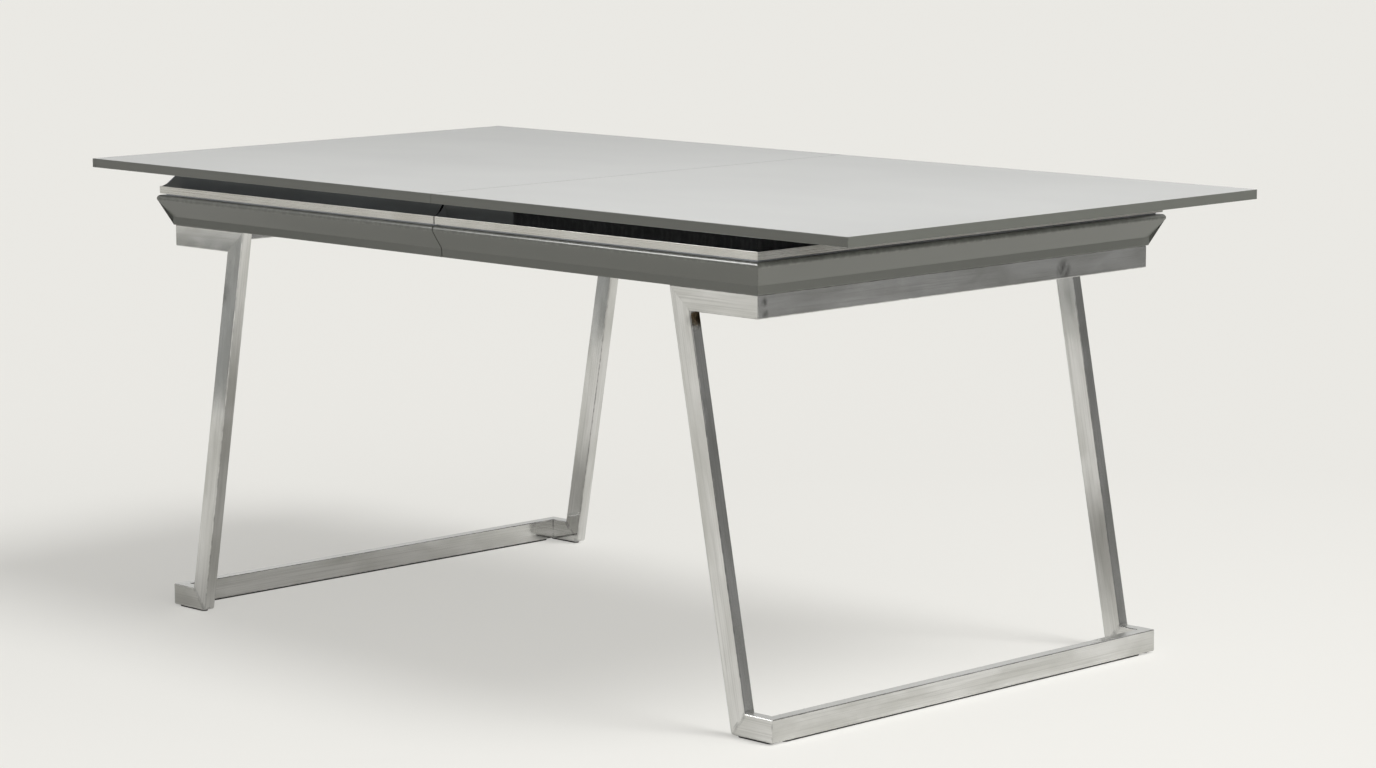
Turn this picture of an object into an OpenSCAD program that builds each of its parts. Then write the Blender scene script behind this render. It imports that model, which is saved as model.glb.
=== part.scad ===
// Extendable dining table, closed. Two equal halves, each a top panel on an
// apron and a steel leg frame, slide apart on telescopic rails. A carriage on
// the rails stays centred by a rack and pinion and stores a leaf folded in two.
// X is the length, Y the width (front is -Y) and Z is up from the floor.

/* [Table top] */
// Length of the closed top
top_l = 1750; // [1700:10:1850]
// Width of the top
top_w = 920; // [900:5:960]
// Thickness of the top panels and the leaf
top_t = 15; // [14:1:16]
// Height of the table top from the floor
table_h = 750; // [730:5:770]
// Gap between the closed panels
seam_gap = 0.6; // [0.4:0.1:1]

/* [Apron] */
// Length of the apron over its rounded noses
apron_l = 1400; // [1380:10:1440]
// Width of the apron over its rounded noses
apron_w = 916; // [896:4:956]
// Height of the grey moulding
apron_h = 50; // [48:1:54]
// Thickness of the apron at its lower bead
apron_t = 20; // [18:1:22]
// Gap between the two halves of the apron
apron_gap = 1; // [0.6:0.2:2]
// Height of the steel-faced cove frame between moulding and panel
cove_h = 35; // [34:1:38]
// Height of the bright steel strip
strip_h = 12; // [10:1:13]
// Thickness of the bright steel strip
strip_t = 1.5; // [1:0.5:2]
// Gap between the strips of the two halves
strip_gap = 2.4; // [1:0.2:4]

/* [Leg frames] */
// Height of the steel box tube's section
tube_h = 35; // [30:1:40]
// Depth of the steel box tube's section
tube_d = 20; // [16:1:24]
// Wall of the steel box tube
tube_wall = 2; // [1.5:0.5:3]
// Distance over the two top beams
beam_span = 1358; // [1330:2:1380]
// Distance over the two floor crossbars
foot_span = 1412; // [1390:2:1460]
// Width of each leg frame
frame_w = 872; // [850:2:900]
// Length of each arm under the apron
arm_l = 181; // [160:1:220]
// Lean of the legs from upright, in degrees
leg_lean = 10.9; // [8:0.1:11]
// Radius of the heel between leg and foot
heel_r = 6; // [2:1:8]
// Thickness of the floor pads
pad_t = 3; // [2:1:5]

/* [Extension] */
// How far the two halves slide apart
travel = 500; // [460:10:500]
// Half length of each middle rail
rail_reach = 300; // [296:1:304]
// Teeth of the equaliser pinion
pinion_teeth = 20; // [20:2:22]
// Module of the rack and pinion
gear_module = 2; // [2]
// Play between rack and pinion teeth
backlash = 0.3; // [0.2:0.05:0.5]

/* [Hidden] */
$fn = 48;

// The two ends and the two long sides
left = -1;
right = 1;
front = -1;
back = 1;

// Levels
panel_z = table_h - top_t;
apron_top_z = panel_z - cove_h;
apron_z = apron_top_z - apron_h;
panel_mid_z = panel_z + top_t / 2;

// Apron outline at the noses, and the inner faces of its boards
nose_x = apron_l / 2;
nose_y = apron_w / 2;
bead_in = 19;
apron_depth = bead_in + apron_t;
inner_y = nose_y - apron_depth;
inner_x = nose_x - apron_depth;

// Moulding profile: u outward from the nose, h up from the apron's bottom edge
nose_r = 6;
nose_c = [-nose_r, apron_h - nose_r];
bead_h = 13.5;
bead_draft = 0.8;
step_u = 1.7;
step_h = 2;

// Cove profile
groove_h = 2.5;
groove_u = -12;
strip_out = -4;
strip_in = strip_out - strip_t;
cove_foot = [strip_in, groove_h + strip_h - 0.5];
cove_top = [-25, cove_h];
cove_inner = -33;
cove_sag = 2.5;

// Mitre prisms reach this far outside and inside the nose line
mitre_out = 12;
mitre_in = 60;

// Leg frame
beam_x = beam_span / 2;
foot_x = foot_span / 2;
frame_y = frame_w / 2;
frame_top = apron_z;
frame_low = frame_top - tube_h;
foot_top = pad_t + tube_h;
arm_x = beam_x - arm_l;
leg_tan = tan(leg_lean);
leg_w = tube_h / cos(leg_lean);
pad_w = 12;
pad_inset = 8;
pad_gap = 14;
mid_pad_l = 2 * (frame_y - tube_d / 2 - pad_w - pad_gap);

// Mounting plates, corner blocks and bolts
plate_t = 4;
plate_leg = 60;
block_h = 46;
bolt_r = 3;
bolt_head_r = 5.5;
bolt_head_h = 4;
bolt_l = 40;
bolt_spots = [[-29, -10], [-10, -29]];
hole_clear = 0.1;

// Telescopic rails: v is measured out from the rail's centre plane
rail_in = 25;
rail_down = 63;
rail_y = inner_y - rail_in;
rail_z = panel_z - rail_down;
channel_h = 44;
channel_in = 6;
channel_out = 22;
channel_wall = 3;
slot_h = 20;
short_by = 180;
long_by = 240;
channel_short = rail_reach - short_by;
channel_long = rail_reach + long_by;
body_v = 5;
body_drop = 2;
fin_v = 4;
fin_clear = 1;
neck_h = 16;
head_v0 = 10.5;
head_v1 = 16;
head_h = 32;
glide_l = 40;
glide_starts = [2, 128];
glide_clear = 0.3;
lug_l = 4;
lug_h = 12;
stop_r = 4;
stop_head_r = 6;
stop_head_h = 1.5;
stop_play = 0.5;

// Rails and battens under the panels
cross_x = 320;
cross_t = 20;
batten_w = 16;
batten_start = 10;

// Carriage
bearer_x = 200;
bearer_w = 30;
bearer_h = 16;
bearer_wall = 2;
bearer_top = rail_z - body_drop;
post_w = 25;
post_y = 150;
link_t = 3;
link_w = 92;
rack_z = bearer_top + link_t + 1;
rack_h = 10;
pinion_r = gear_module * pinion_teeth / 2;
pressure = 20;
base_r = pinion_r * cos(pressure);
tip_r = pinion_r + gear_module;
root_r = pinion_r - 1.25 * gear_module;
pitch = PI * gear_module;
tooth_half = pitch / 4 - backlash / 4;
rack_body = 12;
rack_over = 22;
rack_back = pinion_r + rack_body;
rack_end = travel / 2 + rack_over;
rack_tooth_start = -20;
guide_x = 60;
guide_l = 30;
guide_t = 3;
guide_h = 15;
axle_r = 5;
axle_clear = 0.05;
axle_head_r = 9;
axle_head_h = 3;
collar_r = 8;
collar_h = 0.9;

// Folded leaf
leaf_play = 0.6;
leaf_x = travel / 2 - leaf_play;
leaf_half_w = top_w / 2 - seam_gap / 2;
leaf_down = 43;
leaf_z = panel_z - leaf_down;
fold_gap = 6;
upper_leaf_z = leaf_z + top_t + fold_gap;
fold_y = -leaf_half_w / 2;
fold_z = leaf_z + top_t + fold_gap / 2;
hinge_l = 60;
hinge_w = 28;
hinge_t = 2;
knuckle_r = 3;
hinge_pin_r = 1.2;
hinge_xs = [-180, 0, 180];
knuckle_play = 0.3;

// Dowels at the seam and in the leaf
dowel_r = 4;
dowel_reach = 15;
dowel_glue = 0.05;
dowel_run = 0.1;
socket_deep = 1.5;
seam_dowel_ys = [-350, -120, 120, 350];
leaf_dowel_in = [120, 350];
leaf_dowel_ys = [for (d = leaf_dowel_in) fold_y + d];

// Cam locks
lock_x = 86;
lock_down = 10;
lock_z = rail_z - lock_down;
cam_r = 7;
cam_throw = 2.7;
cam_w = 12;
cam_v = -14;
pivot_r = 3;
pivot_clear = 0.05;
handle_l = 80;
handle_t = 6;
cheek_v = 8;
cheek_t = 3;
cheek_half = 12;
cheek_drop = 8;
pin_proud = 1;

// Positions along a leg's inner and outer edges at height z
function leg_inner(z) = arm_x + leg_tan * (frame_top - z);
function leg_outer(z) = leg_inner(z) + leg_w;

// Point where a line from p touches the lower right of a circle
function tangent(p, c, r) =
    let (d = norm(c - p), reach = sqrt(d * d - r * r),
         turn = asin(r / d), line = atan2(c[1] - p[1], c[0] - p[0]))
    p + reach * [cos(line - turn), sin(line - turn)];

// Involute of the pressure angle, in degrees
function inv_deg(a) = tan(a) * 180 / PI - a;

// Half the angle that a pinion tooth takes up at radius r
function tooth_angle(r) =
    90 / pinion_teeth - backlash / 4 / pinion_r * 180 / PI
    + inv_deg(pressure) - inv_deg(acos(min(1, base_r / r)));

// Puts a piece made for the right back quarter where it belongs
module place(side, face = back) {
    mirror([side < 0 ? 1 : 0, 0, 0])
        mirror([0, face < 0 ? 1 : 0, 0])
            children();
}

// The same piece at the front and at the back
module front_and_back() {
    for (face = [front, back])
        mirror([0, face < 0 ? 1 : 0, 0])
            children();
}

// ---- Profiles -------------------------------------------------------------

module moulding_profile() {
    bead = [-bead_in, 0];
    bead_top = [-bead_in + bead_draft, bead_h];
    step = [-bead_in + step_u, bead_h + step_h];
    union() {
        polygon([
            [-apron_depth, 0],
            bead,
            bead_top,
            step,
            tangent(step, nose_c, nose_r),
            nose_c + [0, nose_r],
            [-apron_depth, apron_h]
        ]);
        translate(nose_c) circle(r = nose_r);
    }
}

module cove_profile() {
    chord = norm(cove_top - cove_foot);
    radius = chord * chord / (8 * cove_sag) + cove_sag / 2;
    along = (cove_top - cove_foot) / chord;
    outward = [along[1], -along[0]];
    centre = (cove_top + cove_foot) / 2 + outward * (radius - cove_sag);
    difference() {
        polygon([
            [cove_inner, 0],
            [groove_u, 0],
            [groove_u, groove_h],
            [strip_in, groove_h],
            cove_foot,
            cove_top,
            [cove_inner, cove_h]
        ]);
        translate(centre) circle(r = radius, $fn = 180);
    }
}

// A run of a profile along the long side, mitred at the end of the table
module side_run(gap, z) {
    run = nose_x + mitre_out;
    intersection() {
        translate([0, nose_y, z])
            rotate([90, 0, 90])
                linear_extrude(run) children();
        linear_extrude(table_h)
            polygon([
                [gap / 2, nose_y + mitre_out],
                [nose_x + mitre_out, nose_y + mitre_out],
                [nose_x - mitre_in, nose_y - mitre_in],
                [gap / 2, nose_y - mitre_in]
            ]);
    }
}

// A run of a profile across the end of the table, mitred at both corners
module end_run(z) {
    run = 2 * (nose_y + mitre_out);
    intersection() {
        translate([nose_x, run / 2, z])
            rotate([90, 0, 0])
                linear_extrude(run) children();
        linear_extrude(table_h)
            polygon([
                [nose_x + mitre_out, -nose_y - mitre_out],
                [nose_x + mitre_out, nose_y + mitre_out],
                [nose_x - mitre_in, nose_y - mitre_in],
                [nose_x - mitre_in, mitre_in - nose_y]
            ]);
    }
}

// ---- Top, apron and cove --------------------------------------------------

// Dowel holes open at the seam; the right panel's are glued, the left's run
module top_panel(side) {
    play = side == right ? dowel_glue : dowel_run;
    color([0.55, 0.56, 0.54])
        place(side)
            difference() {
                translate([seam_gap / 2, -top_w / 2, panel_z])
                    cube([(top_l - seam_gap) / 2, top_w, top_t]);
                for (y = seam_dowel_ys)
                    translate([0, y, panel_mid_z])
                        rotate([0, 90, 0])
                            cylinder(r = dowel_r + play, h = dowel_reach + socket_deep);
            }
}

module side_apron(side, face) {
    color([0.40, 0.41, 0.39])
        place(side, face)
            side_run(apron_gap, apron_z) moulding_profile();
}

module end_apron(side) {
    color([0.40, 0.41, 0.39])
        place(side)
            end_run(apron_z) moulding_profile();
}

module side_cove(side, face) {
    color([0.45, 0.45, 0.46])
        place(side, face)
            side_run(apron_gap, apron_top_z) cove_profile();
}

module end_cove(side) {
    color([0.45, 0.45, 0.46])
        place(side)
            end_run(apron_top_z) cove_profile();
}

// One strip bent round the three sides of a half
module trim_strip(side) {
    out_x = nose_x + strip_out;
    out_y = nose_y + strip_out;
    in_x = nose_x + strip_in;
    in_y = nose_y + strip_in;
    color([0.75, 0.75, 0.73])
        place(side)
            translate([0, 0, apron_top_z + groove_h])
                difference() {
                    translate([strip_gap / 2, -out_y, 0])
                        cube([out_x - strip_gap / 2, 2 * out_y, strip_h]);
                    translate([0, -in_y, -1])
                        cube([in_x, 2 * in_y, strip_h + 2]);
                }
}

// Two triangular blocks in the corners of the apron, drilled for the bolts
module corner_blocks(side) {
    color([0.78, 0.66, 0.48])
        place(side)
            front_and_back()
                difference() {
                    translate([inner_x, inner_y, apron_z])
                        linear_extrude(block_h)
                            polygon([[0, 0], [-plate_leg, 0], [0, -plate_leg]]);
                    bolt_places()
                        translate([0, 0, apron_z - 1])
                            cylinder(r = bolt_r + hole_clear, h = bolt_l + 3);
                }
}

module cross_rail(side) {
    half_w = side == left ? rail_y + channel_in - 1 : rail_y - channel_out - 1;
    color([0.78, 0.66, 0.48])
        place(side)
            translate([cross_x, -half_w, rack_z + rack_h])
                cube([cross_t, 2 * half_w, panel_z - rack_z - rack_h]);
}

// Two battens that hang the half's own channels from its panel
module slide_battens(side) {
    start_v = side == left ? channel_out - batten_w : -channel_out;
    color([0.78, 0.66, 0.48])
        place(side)
            front_and_back()
                translate([batten_start, rail_y + start_v, rail_z + channel_h])
                    cube([
                        channel_long - batten_start,
                        batten_w,
                        panel_z - rail_z - channel_h
                    ]);
}

// ---- Leg frame ------------------------------------------------------------

// Sliver outside the heel's arc, in the leg's side view
module heel_sliver() {
    corner = [leg_inner(pad_t), pad_t];
    half = (90 + leg_lean) / 2;
    reach = heel_r / tan(half);
    centre = corner + [reach, heel_r];
    up = [-sin(leg_lean), cos(leg_lean)];
    difference() {
        polygon([corner - [1, 1], corner + [reach, -1], centre, corner + reach * up - [1, 0]]);
        translate(centre) circle(r = heel_r);
    }
}

// A side-view outline made into a bar of the tube's depth
module side_bar(depth, inset) {
    translate([0, frame_y - inset, 0])
        rotate([90, 0, 0])
            linear_extrude(depth - 2 * inset) children();
}

// Plan outline of an arm or foot, mitred where it meets the tube across
module plan_mitre(end_x) {
    linear_extrude(table_h)
        polygon([
            [0, frame_y],
            [end_x, frame_y],
            [end_x - tube_d, frame_y - tube_d],
            [0, frame_y - tube_d]
        ]);
}

// Hollow of a level tube between two heights
module level_hollow(low, high) {
    translate([0, frame_y - tube_d + tube_wall, low + tube_wall])
        cube([
            foot_x,
            tube_d - 2 * tube_wall,
            high - low - 2 * tube_wall
        ]);
}

module arms(side) {
    color([0.72, 0.72, 0.70])
        place(side)
            front_and_back()
                difference() {
                    intersection() {
                        side_bar(tube_d, 0)
                            polygon([
                                [leg_inner(frame_top), frame_top],
                                [beam_x, frame_top],
                                [beam_x, frame_low],
                                [leg_outer(frame_low), frame_low]
                            ]);
                        plan_mitre(beam_x);
                    }
                    level_hollow(frame_low, frame_top);
                }
}

module leg(side, face) {
    wall_x = tube_wall / cos(leg_lean);
    color([0.72, 0.72, 0.70])
        place(side, face)
            difference() {
                side_bar(tube_d, 0)
                    difference() {
                        polygon([
                            [leg_inner(frame_top), frame_top],
                            [leg_outer(frame_low), frame_low],
                            [leg_outer(foot_top), foot_top],
                            [leg_inner(pad_t), pad_t]
                        ]);
                        heel_sliver();
                    }
                side_bar(tube_d, tube_wall)
                    polygon([
                        [leg_inner(table_h) + wall_x, table_h],
                        [leg_outer(table_h) - wall_x, table_h],
                        [leg_outer(0) - wall_x, 0],
                        [leg_inner(0) + wall_x, 0]
                    ]);
            }
}

module feet(side) {
    color([0.72, 0.72, 0.70])
        place(side)
            front_and_back()
                difference() {
                    intersection() {
                        side_bar(tube_d, 0)
                            difference() {
                                polygon([
                                    [leg_inner(pad_t), pad_t],
                                    [leg_outer(foot_top), foot_top],
                                    [foot_x, foot_top],
                                    [foot_x, pad_t]
                                ]);
                                heel_sliver();
                            }
                        plan_mitre(foot_x);
                    }
                    level_hollow(pad_t, foot_top);
                }
}

// A hollow tube across the table, mitred in plan at both ends
module tube_across(end_x, low) {
    difference() {
        translate([0, 0, low])
            linear_extrude(tube_h)
                polygon([
                    [end_x, -frame_y],
                    [end_x, frame_y],
                    [end_x - tube_d, frame_y - tube_d],
                    [end_x - tube_d, tube_d - frame_y]
                ]);
        translate([end_x - tube_d + tube_wall, -frame_y, low + tube_wall])
            cube([
                tube_d - 2 * tube_wall,
                2 * frame_y,
                tube_h - 2 * tube_wall
            ]);
    }
}

module top_beam(side) {
    color([0.72, 0.72, 0.70])
        place(side) tube_across(beam_x, frame_low);
}

module crossbar(side) {
    color([0.72, 0.72, 0.70])
        place(side) tube_across(foot_x, pad_t);
}

// Pads under the two feet and along the crossbar between them
module floor_pads(side) {
    pad_start = leg_inner(pad_t) + heel_r + pad_inset;
    pad_y = frame_y - tube_d / 2;
    color([0.10, 0.10, 0.10])
        place(side) {
            front_and_back()
                slot_pad([pad_start, pad_y], [foot_x - pad_inset - pad_w / 2, pad_y]);
            slot_pad(
                [foot_x - tube_d / 2, -mid_pad_l / 2],
                [foot_x - tube_d / 2, mid_pad_l / 2]
            );
        }
}

// A flat pad with round ends between two points on the floor
module slot_pad(from, to) {
    size = to - from;
    across = size[0] > size[1] ? [0, pad_w] : [pad_w, 0];
    union() {
        for (end = [from, to])
            translate(end) cylinder(d = pad_w, h = pad_t);
        translate(from - across / 2)
            cube([size[0] + across[0], size[1] + across[1], pad_t]);
    }
}

module bolt_places() {
    for (spot = bolt_spots)
        translate([beam_x - tube_d, frame_y - tube_d, 0])
            translate([spot[0], spot[1], 0])
                children();
}

// Triangular plates welded into the corners of the leg frame
module mounting_plates(side) {
    color([0.60, 0.60, 0.60])
        place(side)
            front_and_back()
                difference() {
                    translate([beam_x - tube_d, frame_y - tube_d, frame_top - plate_t])
                        linear_extrude(plate_t)
                            polygon([[0, 0], [-plate_leg, 0], [0, -plate_leg]]);
                    bolt_places()
                        translate([0, 0, frame_top - plate_t - 1])
                            cylinder(r = bolt_r + hole_clear, h = plate_t + 2);
                }
}

module frame_bolts(side) {
    color([0.50, 0.50, 0.50])
        place(side)
            front_and_back()
                bolt_places()
                    translate([0, 0, frame_top - plate_t - bolt_head_h]) {
                        cylinder(r = bolt_r, h = bolt_head_h + bolt_l);
                        cylinder(r = bolt_head_r, h = bolt_head_h, $fn = 6);
                    }
}

// ---- Telescopic rails -----------------------------------------------------

// Lays a section out along X at the rail's place, from x to x + run
module along_rail(x, run) {
    translate([x, rail_y, rail_z])
        rotate([90, 0, 90])
            linear_extrude(run) children();
}

module channel_profile(facing) {
    depth = channel_out - channel_in;
    mirror([facing < 0 ? 1 : 0, 0])
        difference() {
            translate([channel_in, 0]) square([depth, channel_h]);
            translate([channel_in + channel_wall, channel_wall])
                square([depth - 2 * channel_wall, channel_h - 2 * channel_wall]);
            translate([channel_in - 1, (channel_h - slot_h) / 2])
                square([channel_wall + 2, slot_h]);
        }
}

// Holes for the stop pins through a channel's back wall
module stop_hole(x, facing) {
    translate([x, rail_y + facing * (channel_out - channel_wall / 2), rail_z + channel_h / 2])
        rotate([90, 0, 0])
            cylinder(r = stop_r + hole_clear, h = 2 * channel_wall, center = true);
}

stop_x = travel / 2 - rail_reach + lug_l + stop_r + stop_play;

module outer_channels() {
    color([0.80, 0.81, 0.82])
        front_and_back()
            difference() {
                along_rail(-channel_long, channel_long + channel_short)
                    channel_profile(1);
                stop_hole(stop_x, 1);
            }
}

module inner_channels() {
    color([0.80, 0.81, 0.82])
        front_and_back()
            difference() {
                along_rail(-channel_short, channel_long + channel_short)
                    channel_profile(-1);
                stop_hole(-stop_x, -1);
            }
}

module stop_pin(x, facing) {
    reach = channel_out - head_v1 - stop_play;
    color([0.45, 0.45, 0.45])
        front_and_back()
            translate([x, rail_y + facing * channel_out, rail_z + channel_h / 2])
                rotate([facing * 90, 0, 0])
                    translate([0, 0, -stop_head_h]) {
                        cylinder(r = stop_r, h = stop_head_h + reach);
                        cylinder(r = stop_head_r, h = stop_head_h);
                    }
}

// Middle rail: a body between the channels, a head in each, and a fin on top
module middle_rails() {
    mid = channel_h / 2;
    fin_top = panel_z - rail_z - fin_clear;
    color([0.70, 0.71, 0.72])
        front_and_back()
            union() {
                along_rail(-rail_reach, 2 * rail_reach)
                    union() {
                        translate([-body_v, -body_drop])
                            square([2 * body_v, channel_h + body_drop]);
                        translate([-fin_v, 0]) square([2 * fin_v, fin_top]);
                        translate([-head_v1, mid - neck_h / 2])
                            square([2 * head_v1, neck_h]);
                        for (facing = [-1, 1])
                            translate([
                                facing > 0 ? head_v0 : -head_v1,
                                mid - head_h / 2
                            ])
                                square([head_v1 - head_v0, head_h]);
                    }
                for (facing = [-1, 1])
                    stop_lug(facing);
            }
}

module stop_lug(facing) {
    lug_v = channel_out - channel_wall - glide_clear;
    low = facing > 0 ? head_v0 : -lug_v;
    along_rail(facing > 0 ? -rail_reach : rail_reach - lug_l, lug_l)
        translate([low, (channel_h - lug_h) / 2])
            square([lug_v - head_v0, lug_h]);
}

// Nylon pads above and below the heads, near the end that stays in the channel
module rail_glides() {
    low = channel_wall + glide_clear;
    pad_h = (channel_h - head_h) / 2 - low;
    color([0.90, 0.89, 0.85])
        front_and_back()
            for (facing = [-1, 1], start = glide_starts, h = [low, channel_h - low - pad_h])
                along_rail(
                    facing > 0 ? start - rail_reach : rail_reach - start - glide_l,
                    glide_l
                )
                    translate([facing > 0 ? head_v0 : -head_v1, h])
                        square([head_v1 - head_v0, pad_h]);
}

// ---- Carriage and equaliser -----------------------------------------------

// Two hollow tubes hung under the middle rails, each with two posts
module carriage_bearers() {
    span = 2 * (rail_y + body_v);
    hollow_h = bearer_h - 2 * bearer_wall;
    color([0.25, 0.25, 0.26])
        for (x = [-bearer_x, bearer_x])
            translate([x, 0, bearer_top - bearer_h]) {
                difference() {
                    translate([-bearer_w / 2, -span / 2, 0])
                        cube([bearer_w, span, bearer_h]);
                    translate([bearer_wall - bearer_w / 2, -span / 2 - 1, bearer_wall])
                        cube([bearer_w - 2 * bearer_wall, span + 2, hollow_h]);
                }
                for (y = [-post_y, post_y])
                    translate([-post_w / 2, y - post_w / 2, bearer_h - 1])
                        cube([post_w, post_w, leaf_z - bearer_top + 1]);
            }
}

// Link plate across the bearers, with upturned guides behind the racks
module pinion_plate() {
    plate_x = bearer_x + bearer_w / 2;
    guide_y = rack_back + glide_clear;
    color([0.60, 0.60, 0.60])
        difference() {
            union() {
                translate([-plate_x, -link_w / 2, bearer_top])
                    cube([2 * plate_x, link_w, link_t]);
                for (x = [-guide_x, guide_x])
                    front_and_back()
                        translate([x - guide_l / 2, guide_y, bearer_top])
                            cube([guide_l, guide_t, guide_h]);
            }
            translate([0, 0, bearer_top - 1])
                cylinder(r = axle_r + hole_clear, h = link_t + 2);
        }
}

module pinion_axle() {
    collar_z = rack_z + rack_h + collar_h / 2;
    color([0.50, 0.50, 0.50]) {
        translate([0, 0, bearer_top - axle_head_h])
            cylinder(r = axle_head_r, h = axle_head_h);
        translate([0, 0, bearer_top - axle_head_h])
            cylinder(r = axle_r, h = collar_z + collar_h - bearer_top + axle_head_h);
        translate([0, 0, bearer_top + link_t])
            cylinder(r = collar_r, h = collar_h);
        translate([0, 0, collar_z])
            cylinder(r = collar_r, h = collar_h);
    }
}

module equaliser_pinion() {
    flank = [for (i = [0 : 4]) base_r + (tip_r - base_r) * i / 4];
    radii = concat([root_r], flank);
    step = 360 / pinion_teeth;
    outline = [
        for (tooth = [0 : pinion_teeth - 1])
            let (middle = 90 + tooth * step)
                for (side = [-1, 1], i = [0 : len(radii) - 1])
                    let (r = radii[side < 0 ? i : len(radii) - 1 - i],
                         a = middle + side * tooth_angle(max(r, base_r)))
                        r * [cos(a), sin(a)]
    ];
    color([0.86, 0.85, 0.80])
        difference() {
            translate([0, 0, rack_z]) linear_extrude(rack_h) polygon(outline);
            translate([0, 0, rack_z - 1])
                cylinder(r = axle_r + axle_clear, h = rack_h + 2);
        }
}

// The left rack lies in front of the pinion; the right one is it turned round
module rack(turn) {
    tip_y = -pinion_r + gear_module;
    root_y = -pinion_r - 1.25 * gear_module;
    tip_half = tooth_half - gear_module * tan(pressure);
    root_half = tooth_half + 1.25 * gear_module * tan(pressure);
    first = ceil((rack_tooth_start - pitch / 2) / pitch);
    last = floor((rack_end - pitch) / pitch);
    teeth = [
        for (i = [last : -1 : first])
            let (x = (i + 0.5) * pitch)
                each [
                    [x + root_half, root_y],
                    [x + tip_half, tip_y],
                    [x - tip_half, tip_y],
                    [x - root_half, root_y]
                ]
    ];
    ends = [
        [-cross_x - cross_t, root_y],
        [-cross_x - cross_t, -rack_back],
        [rack_end, -rack_back],
        [rack_end, root_y]
    ];
    color([0.86, 0.85, 0.80])
        rotate([0, 0, turn])
            translate([0, 0, rack_z])
                linear_extrude(rack_h) polygon(concat(teeth, ends));
}

// ---- Leaf -----------------------------------------------------------------

// Half a leaf: dowels are glued into its left edge, sockets open in its right
module leaf_half(z) {
    color([0.55, 0.56, 0.54])
        difference() {
            translate([-leaf_x, -leaf_half_w / 2, z])
                cube([2 * leaf_x, leaf_half_w, top_t]);
            for (y = leaf_dowel_ys) {
                translate([-leaf_x - 1, y, z + top_t / 2])
                    rotate([0, 90, 0])
                        cylinder(r = dowel_r + dowel_glue, h = dowel_reach + 1);
                translate([leaf_x - dowel_reach - socket_deep, y, z + top_t / 2])
                    rotate([0, 90, 0])
                        cylinder(r = dowel_r + dowel_run, h = dowel_reach + socket_deep + 1);
            }
        }
}

// One hinge plate with its knuckles, as [start, length] pairs along X
module hinge_plate(z, knuckles) {
    difference() {
        union() {
            for (k = knuckles)
                translate([k[0], 0, 0]) {
                    translate([0, 0, z])
                        cube([k[1], hinge_w, hinge_t]);
                    rotate([0, 90, 0])
                        cylinder(r = knuckle_r, h = k[1]);
                }
            translate([-hinge_l / 2, knuckle_r + 1, z])
                cube([hinge_l, hinge_w - knuckle_r - 1, hinge_t]);
        }
        translate([-hinge_l / 2 - 1, 0, 0])
            rotate([0, 90, 0])
                cylinder(r = hinge_pin_r + hole_clear, h = hinge_l + 2);
    }
}

// Three butt hinges between the leaf halves, closed
module leaf_hinges() {
    third = hinge_l / 3;
    knuckle_l = third - knuckle_play;
    color([0.62, 0.55, 0.38])
        for (x = hinge_xs)
            translate([x, fold_y, fold_z]) {
                hinge_plate(
                    -fold_gap / 2,
                    [[-hinge_l / 2, knuckle_l], [third / 2 + knuckle_play, knuckle_l]]
                );
                hinge_plate(fold_gap / 2 - hinge_t, [[-third / 2 + knuckle_play / 2, knuckle_l]]);
                translate([-hinge_l / 2, 0, 0])
                    rotate([0, 90, 0])
                        cylinder(r = hinge_pin_r, h = hinge_l);
            }
}

module leaf_dowels() {
    color([0.80, 0.70, 0.50])
        for (y = leaf_dowel_ys, z = [leaf_z, upper_leaf_z])
            translate([-leaf_x - dowel_reach, y, z + top_t / 2])
                rotate([0, 90, 0])
                    cylinder(r = dowel_r, h = 2 * dowel_reach);
}

module seam_dowels() {
    color([0.80, 0.70, 0.50])
        for (y = seam_dowel_ys)
            translate([-dowel_reach, y, panel_mid_z])
                rotate([0, 90, 0])
                    cylinder(r = dowel_r, h = 2 * dowel_reach);
}

// ---- Cam locks ------------------------------------------------------------

// Angle brackets under the outer channels, each with a riveted pivot pin
module lock_brackets() {
    cheek_top = rail_z;
    cheek_low = lock_z - cheek_drop;
    pin_l = cheek_v + cheek_t - cam_v + cam_w / 2 + pin_proud;
    color([0.50, 0.50, 0.50])
        front_and_back()
            union() {
                translate([lock_x - cheek_half, rail_y + cheek_v, cheek_low])
                    cube([2 * cheek_half, cheek_t, cheek_top - cheek_low]);
                translate([lock_x - cheek_half, rail_y + cheek_v, cheek_top - cheek_t])
                    cube([2 * cheek_half, channel_out - cheek_v, cheek_t]);
                translate([lock_x, rail_y + cheek_v + cheek_t, lock_z])
                    rotate([90, 0, 0])
                        cylinder(r = pivot_r, h = pin_l);
            }
}

// Cam and handle; the cam comes just short of the inner channel's underside
module lock_lever(face) {
    color([0.12, 0.12, 0.12])
        mirror([0, face < 0 ? 1 : 0, 0])
            translate([lock_x, rail_y + cam_v + cam_w / 2, lock_z])
                difference() {
                    rotate([90, 0, 0])
                        linear_extrude(cam_w)
                            union() {
                                circle(r = cam_r);
                                translate([0, cam_throw]) circle(r = cam_r);
                                translate([-cam_r, 0]) square([2 * cam_r, cam_throw]);
                                translate([0, -cam_r]) square([handle_l, handle_t]);
                                translate([handle_l, handle_t / 2 - cam_r])
                                    circle(d = handle_t);
                            }
                    translate([0, 1, 0])
                        rotate([90, 0, 0])
                            cylinder(r = pivot_r + pivot_clear, h = cam_w + 2);
                }
}

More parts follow.
